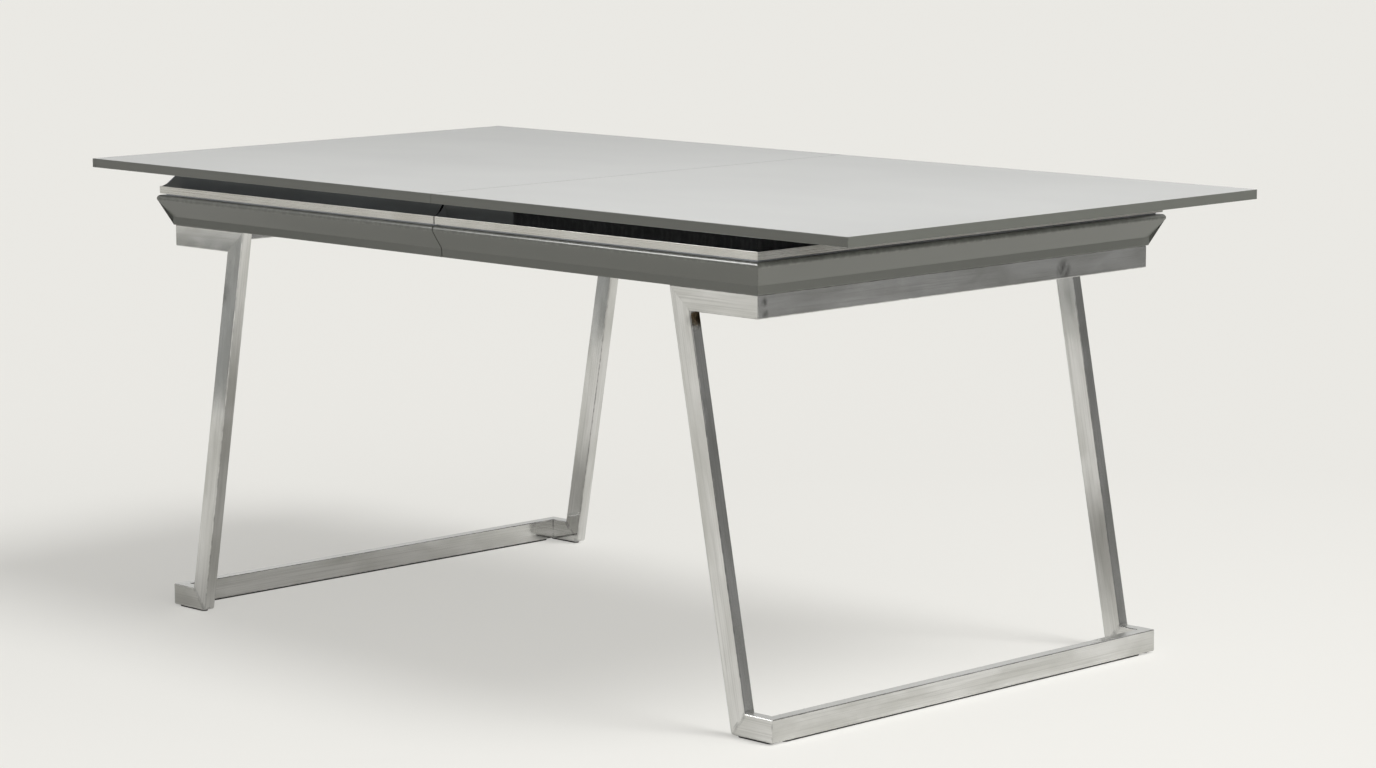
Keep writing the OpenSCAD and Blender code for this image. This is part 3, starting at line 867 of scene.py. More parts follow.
@dataclass(frozen=True)
class PolishedSteel(Finish):
    """Stainless tube, belted then buffed: soft streaks along it and a slight ripple.

    Attributes:
        grain: The direction of the streaks.
        lean: How far a leg leans, for streaks that follow one.
        streak: The streaks' length and width, drawn wide enough to show.
        streak_depth: How deep the streaks are.
        ripple: The length of the ripple that buffing leaves.
        ripple_depth: How deep the ripple is.
        haze: The size of the hazy patches.
        gloss: The roughness at its smoothest and its dullest.
        streaked: The colour of the duller streaks.
        unpolished: The size of the spots on the arrises that paint a dark edge
            reflection, and the most that they show.
        missed: The colour of that painted edge reflection.
        scuffs: The share of painted shade that darkens what a level face just over the
            floor mirrors, and its roughness there.
        scuffed_below: The heights between which level faces stop taking that painted
            shade.
        rubbed: The colour of a level face with that painted shade.
        stain: The colour of heat tint and burnt polish, and of the painted shade on the
            legs.
    """

    label: str = "buffed stainless tube"
    slot: str = "polished_steel"
    colour: str = "#DCDCDB"
    worn: str = "#C4C4C1"
    grain: Grain = Grain.ALONG_TABLE
    lean: float = 0.0
    streak: Point2 = (220 * MM, 2.2 * MM)
    streak_depth: float = 0.004 * MM
    ripple: float = 90 * MM
    ripple_depth: float = 0.2 * MM
    haze: tuple[float, float, float] = (35 * MM, 35 * MM, 60 * MM)
    gloss: Point2 = (0.07, 0.17)
    streaked: str = "#A3A29F"
    unpolished: Point2 = (14 * MM, 0.4)
    missed: str = "#6F6F6F"
    scuffs: Point2 = (0.85, 0.4)
    scuffed_below: Point2 = (60 * MM, 80 * MM)
    rubbed: str = "#A9A9A6"
    stain: str = "#55534F"

    def stretch(self, along: float, across: float) -> tuple[float, float, float]:
        """Gives a pattern's spacing with its long way along the grain.

        Args:
            along: The spacing along the grain.
            across: The spacing across it.

        Returns:
            The spacing along X, Y and Z.
        """
        if self.grain is Grain.ALONG_TABLE:
            return (along, across, across)
        if self.grain is Grain.ACROSS_TABLE:
            return (across, along, across)
        return (across, across, along)

    def stained(self, tree: Tree) -> Socket:
        """Gives the share of heat tint and burnt polish round the welds, and of painted
        shade on the legs below the arms.

        Args:
            tree: The material's node tree.

        Returns:
            The share of weld tint and painted shade.
        """
        place = add_node(tree, "ShaderNodeTexCoord").outputs["Object"]
        total: Socket | None = None
        for spot, radius, depth in WELD_STAINS_AND_SHADE:
            away = add_node(
                tree,
                "ShaderNodeVectorMath",
                {"operation": "DISTANCE", 1: spot},
                {0: place},
            )
            near = add_node(
                tree,
                "ShaderNodeMapRange",
                {1: radius * 0.2, 2: radius, 3: depth, 4: 0.0},
                {0: away.outputs["Value"]},
            )
            if total is not None:
                near = add_node(
                    tree,
                    "ShaderNodeMath",
                    {"operation": "MAXIMUM"},
                    {0: total, 1: near.outputs[0]},
                )
            total = near.outputs[0]
        broken = add_node(
            tree,
            "ShaderNodeMapRange",
            {1: 0.35, 2: 0.6, 3: 0.25, 4: 1.0},
            {0: self.pattern(tree, (9 * MM, 9 * MM, 14 * MM), 3.0)},
        )
        share = add_node(
            tree,
            "ShaderNodeMath",
            {"operation": "MULTIPLY"},
            {0: total, 1: broken.outputs[0]},
        )
        return share.outputs[0]

    def scuffed(self, tree: Tree) -> Socket:
        """Gives the share of painted shade, darker and duller, on the level faces just
        over the floor.

        Args:
            tree: The material's node tree.

        Returns:
            The share that gets the painted shade.
        """
        place = add_node(tree, "ShaderNodeTexCoord")
        shares = []
        for output, low, high, start, end in (
            ("Normal", 0.9, 0.99, 0.0, 1.0),
            ("Object", *self.scuffed_below, self.scuffs[0], 0.0),
        ):
            parts = add_node(
                tree, "ShaderNodeSeparateXYZ", links={0: place.outputs[output]}
            )
            share = add_node(
                tree,
                "ShaderNodeMapRange",
                {1: low, 2: high, 3: start, 4: end},
                {0: parts.outputs["Z"]},
            )
            shares.append(share.outputs[0])
        both = add_node(
            tree, "ShaderNodeMath", {"operation": "MULTIPLY"}, dict(enumerate(shares))
        )
        return both.outputs[0]

    def roughness(
        self, tree: Tree, lines: Socket, haze: Socket, scuffed: Socket
    ) -> Socket:
        """Gives the roughness: streaks and haze, and duller on the level faces just
        over the floor.

        Args:
            tree: The material's node tree.
            lines: The streaks' pattern.
            haze: The haze's pattern.
            scuffed: The share of painted shade on the level faces just over the floor.

        Returns:
            The roughness.
        """
        both = add_node(
            tree, "ShaderNodeMix", {"data_type": "FLOAT", 0: 0.55}, {2: lines, 3: haze}
        )
        polished = add_node(
            tree,
            "ShaderNodeMapRange",
            {1: 0.34, 2: 0.66, 3: self.gloss[0], 4: self.gloss[1]},
            {0: both.outputs[0]},
        )
        rough = add_node(
            tree,
            "ShaderNodeMix",
            {"data_type": "FLOAT", 3: self.scuffs[1]},
            {0: scuffed, 2: polished.outputs[0]},
        )
        return rough.outputs[0]

    def shader(self, tree: Tree) -> bpy.types.Node:
        """Builds the steel: faint smudges, streaked gloss and a rippled surface.

        Args:
            tree: The material's node tree.

        Returns:
            The surface shader.
        """
        turn = (0.0, self.lean, 0.0)
        lines = self.pattern(tree, self.stretch(*self.streak), 3.0, turn)
        smudge = self.pattern(
            tree, self.stretch(self.ripple * 1.6, self.ripple * 0.45), 3.0, turn, 0.4
        )
        wave = self.pattern(
            tree, self.stretch(self.ripple, self.ripple * 0.7), 1.0, turn
        )
        haze = self.pattern(tree, self.haze, 2.0, turn)
        dulled = add_node(
            tree, "ShaderNodeMapRange", {1: 0.48, 2: 0.7, 4: 0.35}, {0: lines}
        )
        scuffed = self.scuffed(tree)
        # Each tube's arris gets a thin painted dark line, standing for the dark
        # reflection along its rounded edge.
        colour = self.drift(tree, smudge, (0.38, 0.66))
        for share, code in (
            (dulled.outputs[0], self.streaked),
            (self.arris_wear(tree, *self.unpolished), self.missed),
            # Painted shade on level faces just over the floor, darkening what they
            # mirror.
            (scuffed, self.rubbed),
            # Heat tint at the welds, and painted shade on the legs below the arms.
            (self.stained(tree), self.stain),
        ):
            layer = add_node(
                tree,
                "ShaderNodeMix",
                {"data_type": "RGBA", 7: linear(code)},
                {0: share, 6: colour},
            )
            colour = layer.outputs[2]
        rough = self.roughness(tree, lines, haze, scuffed)
        return self.surface(
            tree,
            {"Base Color": colour, "Roughness": rough},
            [(wave, self.ripple_depth), (lines, self.streak_depth)],
            METAL,
        )


@dataclass(frozen=True)
class Mottled(Finish):
    """A finish with a mottle in its colour and a fine pattern in its surface.

    Attributes:
        mottle: The mottle's size along X, Y and Z, and its detail.
        fine: The fine pattern's size along X, Y and Z, and its detail.
        depth: How deep the fine pattern is.
        gloss: The roughness at its smoothest and its dullest, unless the settings give
            it.
        settings: The surface shader's other inputs.
        toned: The part of the mottle's range over which the colour drifts.
        shined: The part of a pattern's range over which the roughness changes.
        lined: Whether the roughness follows the fine pattern, not the mottle.
    """

    mottle: Blotches
    fine: Blotches
    depth: float
    gloss: Point2 | None
    settings: tuple[tuple[str, float], ...] = METAL
    toned: Point2 = MOST_OF_NOISE
    shined: Point2 = MOST_OF_NOISE
    lined: bool = False

    def shader(self, tree: Tree) -> bpy.types.Node:
        """Builds the finish: mottled colour, uneven gloss and a fine relief.

        Args:
            tree: The material's node tree.

        Returns:
            The surface shader.
        """
        mottle = self.pattern(tree, *self.mottle)
        fine = self.pattern(tree, *self.fine)
        links = {"Base Color": self.drift(tree, mottle, self.toned)}
        if self.gloss is not None:
            rough = add_node(
                tree,
                "ShaderNodeMapRange",
                dict(enumerate((*self.shined, *self.gloss), 1)),
                {0: fine if self.lined else mottle},
            )
            links["Roughness"] = rough.outputs[0]
        return self.surface(tree, links, [(fine, self.depth)], self.settings)


@dataclass(frozen=True)
class PlanedBeech(Finish):
    """Planed and oiled beech: long grain, short dark flecks and a dull sheen.

    Attributes:
        run: The spacing of the grain along X, Y and Z.
        fleck: The size of the flecks.
        flecked: The flecks' colour.
        depth: How deep the grain stands.
        gloss: The roughness at its smoothest and its dullest.
    """

    label: str = "planed beech"
    slot: str = "beech"
    colour: str = "#CCB08A"
    worn: str = "#AF9068"
    run: tuple[float, float, float] = (4 * MM, 180 * MM, 5 * MM)
    fleck: tuple[float, float, float] = (1 * MM, 7 * MM, 1 * MM)
    flecked: str = "#8C6238"
    depth: float = 0.05 * MM
    gloss: Point2 = (0.48, 0.62)

    def shader(self, tree: Tree) -> bpy.types.Node:
        """Builds the beech: grain, flecks and pores.

        Args:
            tree: The material's node tree.

        Returns:
            The surface shader.
        """
        span = (0.3, 0.7)
        grain = self.pattern(tree, self.run, 4.0, distortion=0.6)
        dark = add_node(
            tree,
            "ShaderNodeMapRange",
            {1: 0.62, 2: 0.72, 4: 0.5},
            {0: self.pattern(tree, self.fleck, 1.0)},
        )
        colour = add_node(
            tree,
            "ShaderNodeMix",
            {"data_type": "RGBA", 7: linear(self.flecked)},
            {0: dark.outputs[0], 6: self.drift(tree, grain, span)},
        )
        rough = add_node(
            tree,
            "ShaderNodeMapRange",
            dict(enumerate((*span, *self.gloss), 1)),
            {0: grain},
        )
        return self.surface(
            tree,
            {"Base Color": colour.outputs[2], "Roughness": rough.outputs[0]},
            [(grain, self.depth)],
            (("IOR", 1.5),),
        )


# Satin lacquer gives the eye one even grey, with a soft, wide highlight at a low angle.
LACQUER = SatinLacquer()
# Polished sheet on board is a cool mirror with a faint wave in it. It shows the top's
# underside and whatever stands in front, a little darker and bluer than they are.
MIRROR = Mottled(
    "mirror-polished stainless sheet",
    "steel_faced_board",
    "#B9BCC2",
    "#A9ABB0",
    mottle=((200 * MM, 200 * MM, 50 * MM), 3.0),
    fine=((70 * MM, 70 * MM, 30 * MM), 1.0),
    depth=0.05 * MM,
    gloss=(0.08, 0.16),
)
# A belt-ground strip has long fine lines that smear what it mirrors along its length.
STRIP = Mottled(
    "satin stainless strip",
    "brushed_strip",
    "#C9C8C4",
    "#BDBBB5",
    mottle=((90 * MM,) * 3, 3.0),
    fine=((260 * MM, 260 * MM, 0.7 * MM), 2.0),
    depth=0.01 * MM,
    gloss=(0.24, 0.34),
    lined=True,
)
# Moulded rubber is matte and nearly black, with dust in a fine tooth.
RUBBER = Mottled(
    "moulded rubber",
    "black_rubber",
    "#1E1E1D",
    "#3A3936",
    mottle=((6 * MM,) * 3, 4.0),
    fine=((0.6 * MM,) * 3, 1.0),
    depth=0.03 * MM,
    gloss=None,
    settings=(("Roughness", 0.75), ("IOR", 1.45)),
    toned=(0.45, 0.7),
)
# Bright zinc plate is a bluish grey metal with soft patches and a half-dull shine.
ZINC = Mottled(
    "bright zinc plate",
    "zinc_steel",
    "#B9BBBC",
    "#A3A6A9",
    mottle=((12 * MM,) * 3, 3.0),
    fine=((8 * MM,) * 3, 2.0),
    depth=0.01 * MM,
    gloss=(0.28, 0.42),
    lined=True,
)
# Extruded and anodised aluminium is a pale, even metal with die lines along its length.
EXTRUSION = Mottled(
    "extruded anodised aluminium",
    "anodised_aluminium",
    "#C4C6C8",
    "#B6B9BC",
    mottle=((60 * MM,) * 3, 3.0),
    fine=((300 * MM, 0.8 * MM, 0.8 * MM), 2.0),
    depth=0.01 * MM,
    gloss=(0.30, 0.40),
    lined=True,
)
# Rolled brass is a dull yellow metal, with rolling lines and patches of tarnish.
ROLLED_BRASS = Mottled(
    "rolled brass",
    "brass",
    "#C3A35C",
    "#A98A48",
    mottle=((12 * MM,) * 3, 3.0),
    fine=((5 * MM, 0.5 * MM, 5 * MM), 2.0),
    depth=0.01 * MM,
    gloss=(0.28, 0.42),
    lined=True,
)
# Moulded nylon is milky: light goes a little way in, so its edges look soft.
NYLON = Mottled(
    "moulded nylon",
    "nylon",
    "#E0DDD2",
    "#CFCABB",
    mottle=((10 * MM,) * 3, 3.0),
    fine=((0.8 * MM,) * 3, 1.0),
    depth=0.01 * MM,
    gloss=(0.42, 0.55),
    settings=(("IOR", 1.53), ("Subsurface Weight", 0.1), ("Subsurface Scale", 2 * MM)),
)
# Powder coat is a black skin of fine pebbles, with greyer, scuffed patches.
COAT = Mottled(
    "black powder coat",
    "black_powder_coat",
    "#222224",
    "#4A4A4B",
    mottle=((15 * MM,) * 3, 4.0),
    fine=((0.9 * MM,) * 3, 2.0),
    depth=0.04 * MM,
    gloss=(0.45, 0.6),
    settings=(("IOR", 1.5),),
    toned=(0.5, 0.72),
    shined=(0.4, 0.7),
)
# Planed beech is a warm, pale wood; its grain runs across the table or, on the battens,
# along it.
BEECH = PlanedBeech()
LONG_BEECH = replace(
    BEECH, label="planed beech, long grain", run=(180 * MM, 4 * MM, 5 * MM)
)


# Buffed tube is a bright mirror that ripples a little and is streaked along its length.
# It takes its tones from the floor and the room. It greys at its arrises with a painted
# dark edge line, at the welds with heat tint, on the legs below the arms with painted
# shade, and on its level faces just over the floor with painted shade.
def steel_for(grain: Grain, lean: float = 0.0) -> PolishedSteel:
    """Gives the tube finish with its streaks along a direction.

    Args:
        grain: The direction.
        lean: The turn about Y that lays Z along the tube.

    Returns:
        The finish.
    """
    label = f"buffed stainless tube, {grain.value}"
    return PolishedSteel(label=label, grain=grain, lean=lean)


def hand_over(
    piece: Piece, finish: Finish, body: str, replaced: Sequence[str] = ()
) -> Piece:
    """Dresses a piece, ties it to its body and reports it.

    Args:
        piece: The finished piece.
        finish: Its finish.
        body: The CAD body that it moves with.
        replaced: The CAD nodes that it stands for.

    Returns:
        The piece.
    """
    finish.dress(piece)
    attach(piece, body)
    if replaced:
        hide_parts(*replaced)
    LOG.info("%s: %d faces on %s", piece.name, len(piece.data.polygons), body)
    return piece


def half_piece(side: Side, part: str, form: str, shape: Shape, finish: Finish) -> Piece:
    """Finishes a piece of one half, which stands for that half's CAD node.

    Args:
        side: Which half it is.
        part: The CAD node's name without its side.
        form: What the piece is, for its name.
        shape: The piece's mesh code.
        finish: Its finish.

    Returns:
        The piece.
    """
    node = f"{side.word}_{part}"
    return hand_over(to_piece(f"{node}_{form}", shape), finish, side.body, [node])


def redress(node: str, finish: Finish) -> None:
    """Puts a finish on a CAD node that stays as it is."""
    finish.dress(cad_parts[node])
    LOG.info("%s: CAD shape in %s", node, finish.label)


# ---- Repeated parts, made by geometry nodes ----------------------------------------


@dataclass
class Repeat:
    """A tree that sets copies of a part on the points of a host mesh.

    Attributes:
        label: The tree's name.
        sockets: The identifiers of its inputs, by name.
        tree: The tree, once it is built.
    """

    label: str
    sockets: dict[str, str] = field(default_factory=dict)
    tree: Tree | None = None

    def build(self) -> None:
        """Builds the tree: points, copies, real geometry and a finish."""
        self.tree = bpy.data.node_groups.new(self.label, "GeometryNodeTree")
        self.tree.interface.new_socket(
            name="Geometry", in_out="OUTPUT", socket_type="NodeSocketGeometry"
        )
        for name, kind in (
            ("Host", "NodeSocketGeometry"),
            ("Part", "NodeSocketObject"),
            ("Finish", "NodeSocketMaterial"),
            ("Turn", "NodeSocketVector"),
        ):
            made = self.tree.interface.new_socket(
                name=name, in_out="INPUT", socket_type=kind
            )
            self.sockets[name] = made.identifier
        entry = add_node(self.tree, "NodeGroupInput")
        part = add_node(
            self.tree, "GeometryNodeObjectInfo", links={"Object": entry.outputs["Part"]}
        )
        copies = add_node(
            self.tree,
            "GeometryNodeInstanceOnPoints",
            links={
                "Points": entry.outputs["Host"],
                "Instance": part.outputs["Geometry"],
                "Rotation": entry.outputs["Turn"],
            },
        )
        real = add_node(
            self.tree,
            "GeometryNodeRealizeInstances",
            links={"Geometry": copies.outputs[0]},
        )
        dressed = add_node(
            self.tree,
            "GeometryNodeSetMaterial",
            links={"Geometry": real.outputs[0], "Material": entry.outputs["Finish"]},
        )
        add_node(self.tree, "NodeGroupOutput", links={0: dressed.outputs[0]})

    def grow(
        self,
        name: str,
        part: Piece,
        finish: Finish,
        spots: Sequence[Sequence[float]],
        turn: Sequence[float] = (0.0, 0.0, 0.0),
    ) -> Piece:
        """Runs the tree and keeps its result as a plain piece.

        Args:
            name: The new piece's name.
            part: The part to copy, which the caller removes afterwards.
            finish: The finish of the copies.
            spots: The points that get a copy.
            turn: The turn of every copy, in radians about X, Y and Z.

        Returns:
            The new piece.
        """
        if self.tree is None:
            self.build()
        host = bpy.data.meshes.new(f"{name}_host")
        host.from_pydata([tuple(spot) for spot in spots], [], [])
        piece = placed(name, host)
        values = {"Part": part, "Finish": finish.material(), "Turn": tuple(turn)}
        inputs = {self.sockets[key]: value for key, value in values.items()}
        baked(piece, "NODES", {"node_group": self.tree, **inputs})
        piece.data.name = name
        smooth(piece.data)
        return piece


ON_SPOTS = Repeat("copies on given spots")


@dataclass(frozen=True)
class FrameBolt:
    """A hexagon bolt. Its head's face is at the origin and its shank points down.

    Attributes:
        head: The head's radius, over its corners.
        height: The head's height.
        shank: The shank's radius.
        length: The shank's length.
        faces: The faces round the shank.
    """

    head: float = 5.5 * MM
    height: float = 4 * MM
    shank: float = 3 * MM
    length: float = 40 * MM
    faces: int = 24

    def ring(self, radius: float, level: float, hexagon: bool) -> list[Vector]:
        """Gives the points of one ring.

        Args:
            radius: The ring's radius, over the corners of a hexagon.
            level: Its height.
            hexagon: Whether it is a hexagon, not round.

        Returns:
            The points.
        """
        points = []
        wedge = math.pi / 6
        for angle in around(self.faces):
            reach = radius
            if hexagon:
                reach *= math.cos(wedge) / math.cos(angle % (2 * wedge) - wedge)
            points.append(
                Vector((reach * math.cos(angle), reach * math.sin(angle), level))
            )
        return points

    def part(self) -> Piece:
        """Makes the bolt as one closed shell.

        Returns:
            The bolt, to be copied.
        """
        low = -self.height
        rings = [
            self.ring(self.head * 0.82, 0.0, False),
            self.ring(self.head, low * 0.15, True),
            self.ring(self.head, low, True),
            self.ring(self.shank, low, False),
            self.ring(self.shank, low - self.length, False),
        ]
        shape = bmesh.new()
        skin(shape, rings, hollow=False)
        return to_piece("bolt_part", shape)


@dataclass(frozen=True)
class Dowel:
    """A fluted beech dowel along X, centred on the origin.

    Attributes:
        radius: The dowel's radius over its flutes.
        reach: Half its length.
        chamfer: The chamfer at each end.
        flutes: The grooves round it.
        groove: How deep the grooves are.
    """

    radius: float = 4 * MM
    reach: float = 15 * MM
    chamfer: float = 1.0 * MM
    flutes: int = 16
    groove: float = 0.35 * MM

    def ring(self, along: float, taken: float) -> list[Vector]:
        """Gives the points of one ring, with a groove at every fourth.

        Args:
            along: The ring's place along the dowel.
            taken: How much narrower the ring is than the dowel.

        Returns:
            The points.
        """
        points = []
        for step, angle in enumerate(around(self.flutes * 4)):
            cut = self.groove if step % 4 == 0 else 0.0
            reach = self.radius - taken - cut
            points.append(
                Vector((along, reach * math.cos(angle), reach * math.sin(angle)))
            )
        return points

    def part(self) -> Piece:
        """Makes the dowel as one closed shell.

        Returns:
            The dowel, to be copied.
        """
        shoulder = self.reach - self.chamfer
        rings = [
            self.ring(-self.reach, self.chamfer),
            self.ring(-shoulder, 0.0),
            self.ring(shoulder, 0.0),
            self.ring(self.reach, self.chamfer),
        ]
        shape = bmesh.new()
        skin(shape, rings, hollow=False)
        return to_piece("dowel_part", shape)


# ---- Top, apron and cove -----------------------------------------------------------

SEAM_DOWEL_STEP = 230 * MM


def seam_dowel_ys() -> list[float]:
    """Gives the places of the seam dowels across the table.

    Returns:
        Their Y, from the front.
    """
    low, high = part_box("seam_dowels")
    outer = (high.y - low.y) / 2 - (high.z - low.z) / 2
    inner = outer - SEAM_DOWEL_STEP
    return [-outer, -inner, inner, outer]


@dataclass
class TopPanel:
    """One half of the top: a board with a band on its end and sockets at the seam.

    Attributes:
        side: Which half it is.
        edge: The radius of the long edges.
        corner: The radius of the upright corners at the end.
        seam: What is taken off the edges at the seam.
        band: The thickness of the end band.
        joint: The depth of the groove on the long edges where the band meets the board.
        socket_depth: How deep the dowel sockets are.
        clearance: The room round a dowel in its socket.
    """

    side: Side
    edge: float = 0.7 * MM
    corner: float = 1.8 * MM
    seam: float = 0.4 * MM
    band: float = 9.0 * MM
    joint: float = 0.5 * MM
    socket_depth: float = 16.5 * MM
    clearance: float = 0.1 * MM

    def outlines(self, low: Vector, high: Vector) -> list[tuple[float, Section]]:
        """Draws the board's outlines from the seam to the rounded end.

        Args:
            low: The right panel's lowest corner.
            high: Its highest corner.

        Returns:
            Places along the table with an outline each.
        """
        outline = Section.rounded(high.y - low.y, high.z - low.z, self.edge, 3)
        groove_x = high.x - self.band
        drawn = [
            (low.x, outline.inset(self.seam)),
            (low.x + self.seam, outline),
            (groove_x - self.joint, outline),
            (groove_x, outline.drawn_in(self.joint, both=True)),
            (groove_x + self.joint, outline),
        ]
        steps = 6
        for step in range(steps + 1):
            angle = math.pi / 2 * step / steps
            back = self.corner * (1 - math.sin(angle))
            # The last ring thins a little, so that the end's face has a soft arris.
            taken = 0.3 * self.edge * max(0.0, 1 - back / self.edge)
            narrow = self.corner * (1 - math.cos(angle))
            rounded = outline.inset(taken).drawn_in(narrow, both=True)
            drawn.append((high.x - back, rounded))
        return drawn

    def build(self) -> Piece:
        """Builds and dresses the panel.

        Returns:
            The finished panel.
        """
        node = f"{self.side.word}_top_panel"
        low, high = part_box("right_top_panel")
        middle_z = (low.z + high.z) / 2
        shape = bmesh.new()
        rings = [
            [Vector((x, y, middle_z + z)) for y, z in outline.points]
            for x, outline in self.outlines(low, high)
        ]
        skin(shape, rings, quarter(self.side))
        piece = to_piece(node + "_board", shape)
        dowel_low, dowel_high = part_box("seam_dowels")
        radius = (dowel_high.z - dowel_low.z) / 2 + self.clearance
        axis = ALONG_X * self.side.value
        # Each bore starts a millimetre outside the board, so that its mouth is open.
        start = -axis * MM
        bored(
            piece,
            [
                (start + Vector((0, y, middle_z)), axis, self.socket_depth + MM, radius)
                for y in seam_dowel_ys()
            ],
        )
        return hand_over(piece, LACQUER, self.side.body, [node])


def nose_of_apron() -> Point2:
    """Gives half the length and half the width of the apron over its noses."""
    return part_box("right_end_apron")[1].x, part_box("right_back_apron")[1].y


@dataclass
class EdgeRun:
    """A profile that runs along both long sides and the end of one half, mitred.

    Attributes:
        side: Which half it is.
        section: The profile, out from the apron's nose and up from the level.
        level: The height that the profile starts at.
        gap: The gap to the other half at the middle of the table.
        corner: The radius that rounds the upright corner at the mitre.
        arris: What is taken off the edges at the middle of the table.
        play: What the mitres leave open.
    """

    side: Side
    section: Section
    level: float
    gap: float
    corner: float
    arris: float
    play: float = 0.02 * MM

    def bars(self) -> list[tuple[str, Bar, Matrix]]:
        """Gives the front, the back and the end length.

        Returns:
            Each length's place in words, its bar in the right back quarter, and the
            mirror that sets it in place.
        """
        nose_x, nose_y = nose_of_apron()
        corner = Vector((nose_x, nose_y, 0))
        mirror = Vector((nose_x, -nose_y, 0))
        side_bar = Bar(
            self.section,
            Vector((0, nose_y, self.level)),
            ALONG_Y,
            UP,
            Plane(Vector((self.gap / 2, 0, 0)), ALONG_X),
            Plane(corner - ALONG_X * self.play, ALONG_X - ALONG_Y),
            arris=(self.arris, 0.0),
            corner=(0.0, self.corner),
        )
        end_bar = Bar(
            self.section,
            Vector((nose_x, 0, self.level)),
            ALONG_X,
            UP,
            Plane(mirror + ALONG_Y * self.play, ALONG_X + ALONG_Y),
            Plane(corner - ALONG_Y * self.play, ALONG_X - ALONG_Y),
            corner=(self.corner, self.corner),
        )
        bars = [(face.word, side_bar, quarter(self.side, face)) for face in Face]
        return [*bars, ("end", end_bar, quarter(self.side))]

    def lengths(self) -> list[tuple[str, Shape]]:
        """Makes each length as a piece of its own.

        Returns:
            Each length's place in words, and its mesh code.
        """
        made = []
        for where, bar, place in self.bars():
            shape = bmesh.new()
            bar.build(shape, place)
            made.append((where, shape))
        return made

    def whole(self) -> Shape:
        """Makes all three lengths as one piece.

        Returns:
            Its mesh code.
        """
        shape = bmesh.new()
        for _, bar, place in self.bars():
            bar.build(shape, place)
        return shape


@dataclass
class ApronMoulding:
    """The grey moulding under the strip: rounded nose, long slope, step and bead.

    Attributes:
        side: Which half it is.
        depth: From the nose to the inner face.
        bead: From the nose to the bead's foot.
        bead_top: The top of the bead, out from the nose and up.
        step: The foot of the slope, out from the nose and up.
        rounding: The radii of the inner foot, the bead's foot and the bead's top.
        nose: The nose's radius.
        gap: The gap between the two halves.
        corner: The radius of the upright corners at the mitres.
        arris: What is taken off the edges at the gap.
    """

    side: Side
    depth: float = 39 * MM
    bead: float = 19 * MM
    bead_top: Point2 = (-18.2 * MM, 13.5 * MM)
    step: Point2 = (-17.3 * MM, 15.5 * MM)
    rounding: tuple[float, float, float] = (0.5 * MM, 0.9 * MM, 0.6 * MM)
    nose: float = 6 * MM
    gap: float = 2.2 * MM
    corner: float = 1.2 * MM
    arris: float = 0.3 * MM

    def profile(self, height: float) -> Section:
        """Draws the profile, out from the nose and up from the bottom edge.

        Args:
            height: The moulding's height.

        Returns:
            The profile.
        """
        centre = Vector((-self.nose, height - self.nose))
        foot = Vector(self.step)
        to_centre = centre - foot
        reach = math.sqrt(to_centre.length_squared - self.nose**2)
        leaning = math.atan2(to_centre.y, to_centre.x)
        slope = leaning - math.asin(self.nose / to_centre.length)
        touch = foot + Vector((math.cos(slope), math.sin(slope))) * reach
        outline = fillet(
            [
                (-self.depth, 0.0, self.rounding[0]),
                (-self.bead, 0.0, self.rounding[1]),
                (*self.bead_top, self.rounding[2]),
                (*self.step, 0.0),
            ]
        )
        first = math.atan2(touch.y - centre.y, touch.x - centre.x)
        outline += arc(centre, self.nose, first, math.pi / 2, 14)
        outline.append((-self.depth, height))
        return Section(tuple(outline))

    def build(self) -> list[Piece]:
        """Builds and dresses the front, back and end mouldings.

        Returns:
            The finished mouldings.
        """
        low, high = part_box("right_end_apron")
        profile = self.profile(high.z - low.z)
        run = EdgeRun(self.side, profile, low.z, self.gap, self.corner, self.arris)
        return [
            half_piece(self.side, f"{where}_apron", "moulding", shape, LACQUER)
            for where, shape in run.lengths()
        ]


@dataclass
class CoveFrame:
    """The steel-faced frame between moulding and top: a hollow slope above a groove.

    Attributes:
        side: Which half it is.
        inner: From the nose to the inner face.
        groove: The groove's depth in from the nose, and its height.
        foot: The foot of the slope, out from the nose and up.
        top: The top of the slope, out from the nose and up.
        sag: How far the slope is hollowed.
        gap: The gap between the two halves.
        corner: The radius of the upright corners at the mitres.
        arris: What is taken off the edges at the gap.
    """

    side: Side
    inner: float = 33 * MM
    groove: Point2 = (12 * MM, 2.5 * MM)
    foot: Point2 = (-5.5 * MM, 14 * MM)
    top: Point2 = (-25 * MM, 35 * MM)
    sag: float = 2.5 * MM
    gap: float = 2.2 * MM
    corner: float = 0.4 * MM
    arris: float = 0.15 * MM

    def profile(self) -> Section:
        """Draws the profile, out from the nose and up from the moulding's top.

        Returns:
            The profile.
        """
        start, end = Vector(self.foot), Vector(self.top)
        chord = end - start
        radius = chord.length_squared / (8 * self.sag) + self.sag / 2
        outward = Vector((chord.y, -chord.x)).normalized()
        centre = (start + end) / 2 + outward * (radius - self.sag)
        sweep = math.atan2(chord.length / 2, radius - self.sag)
        middle = math.atan2(-outward.y, -outward.x)
        outline = [
            (-self.inner, 0.0),
            (-self.groove[0], 0.0),
            (-self.groove[0], self.groove[1]),
            (self.foot[0], self.groove[1]),
        ]
        outline += arc(centre, radius, middle + sweep, middle - sweep, 14)
        outline.append((-self.inner, self.top[1]))
        return Section(tuple(outline))

    def build(self) -> list[Piece]:
        """Builds and dresses the front, back and end frames.

        Returns:
            The finished frames.
        """
        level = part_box("right_end_cove")[0].z
        profile = self.profile()
        run = EdgeRun(self.side, profile, level, self.gap, self.corner, self.arris)
        return [
            half_piece(self.side, f"{where}_cove", "slope", shape, MIRROR)
            for where, shape in run.lengths()
        ]


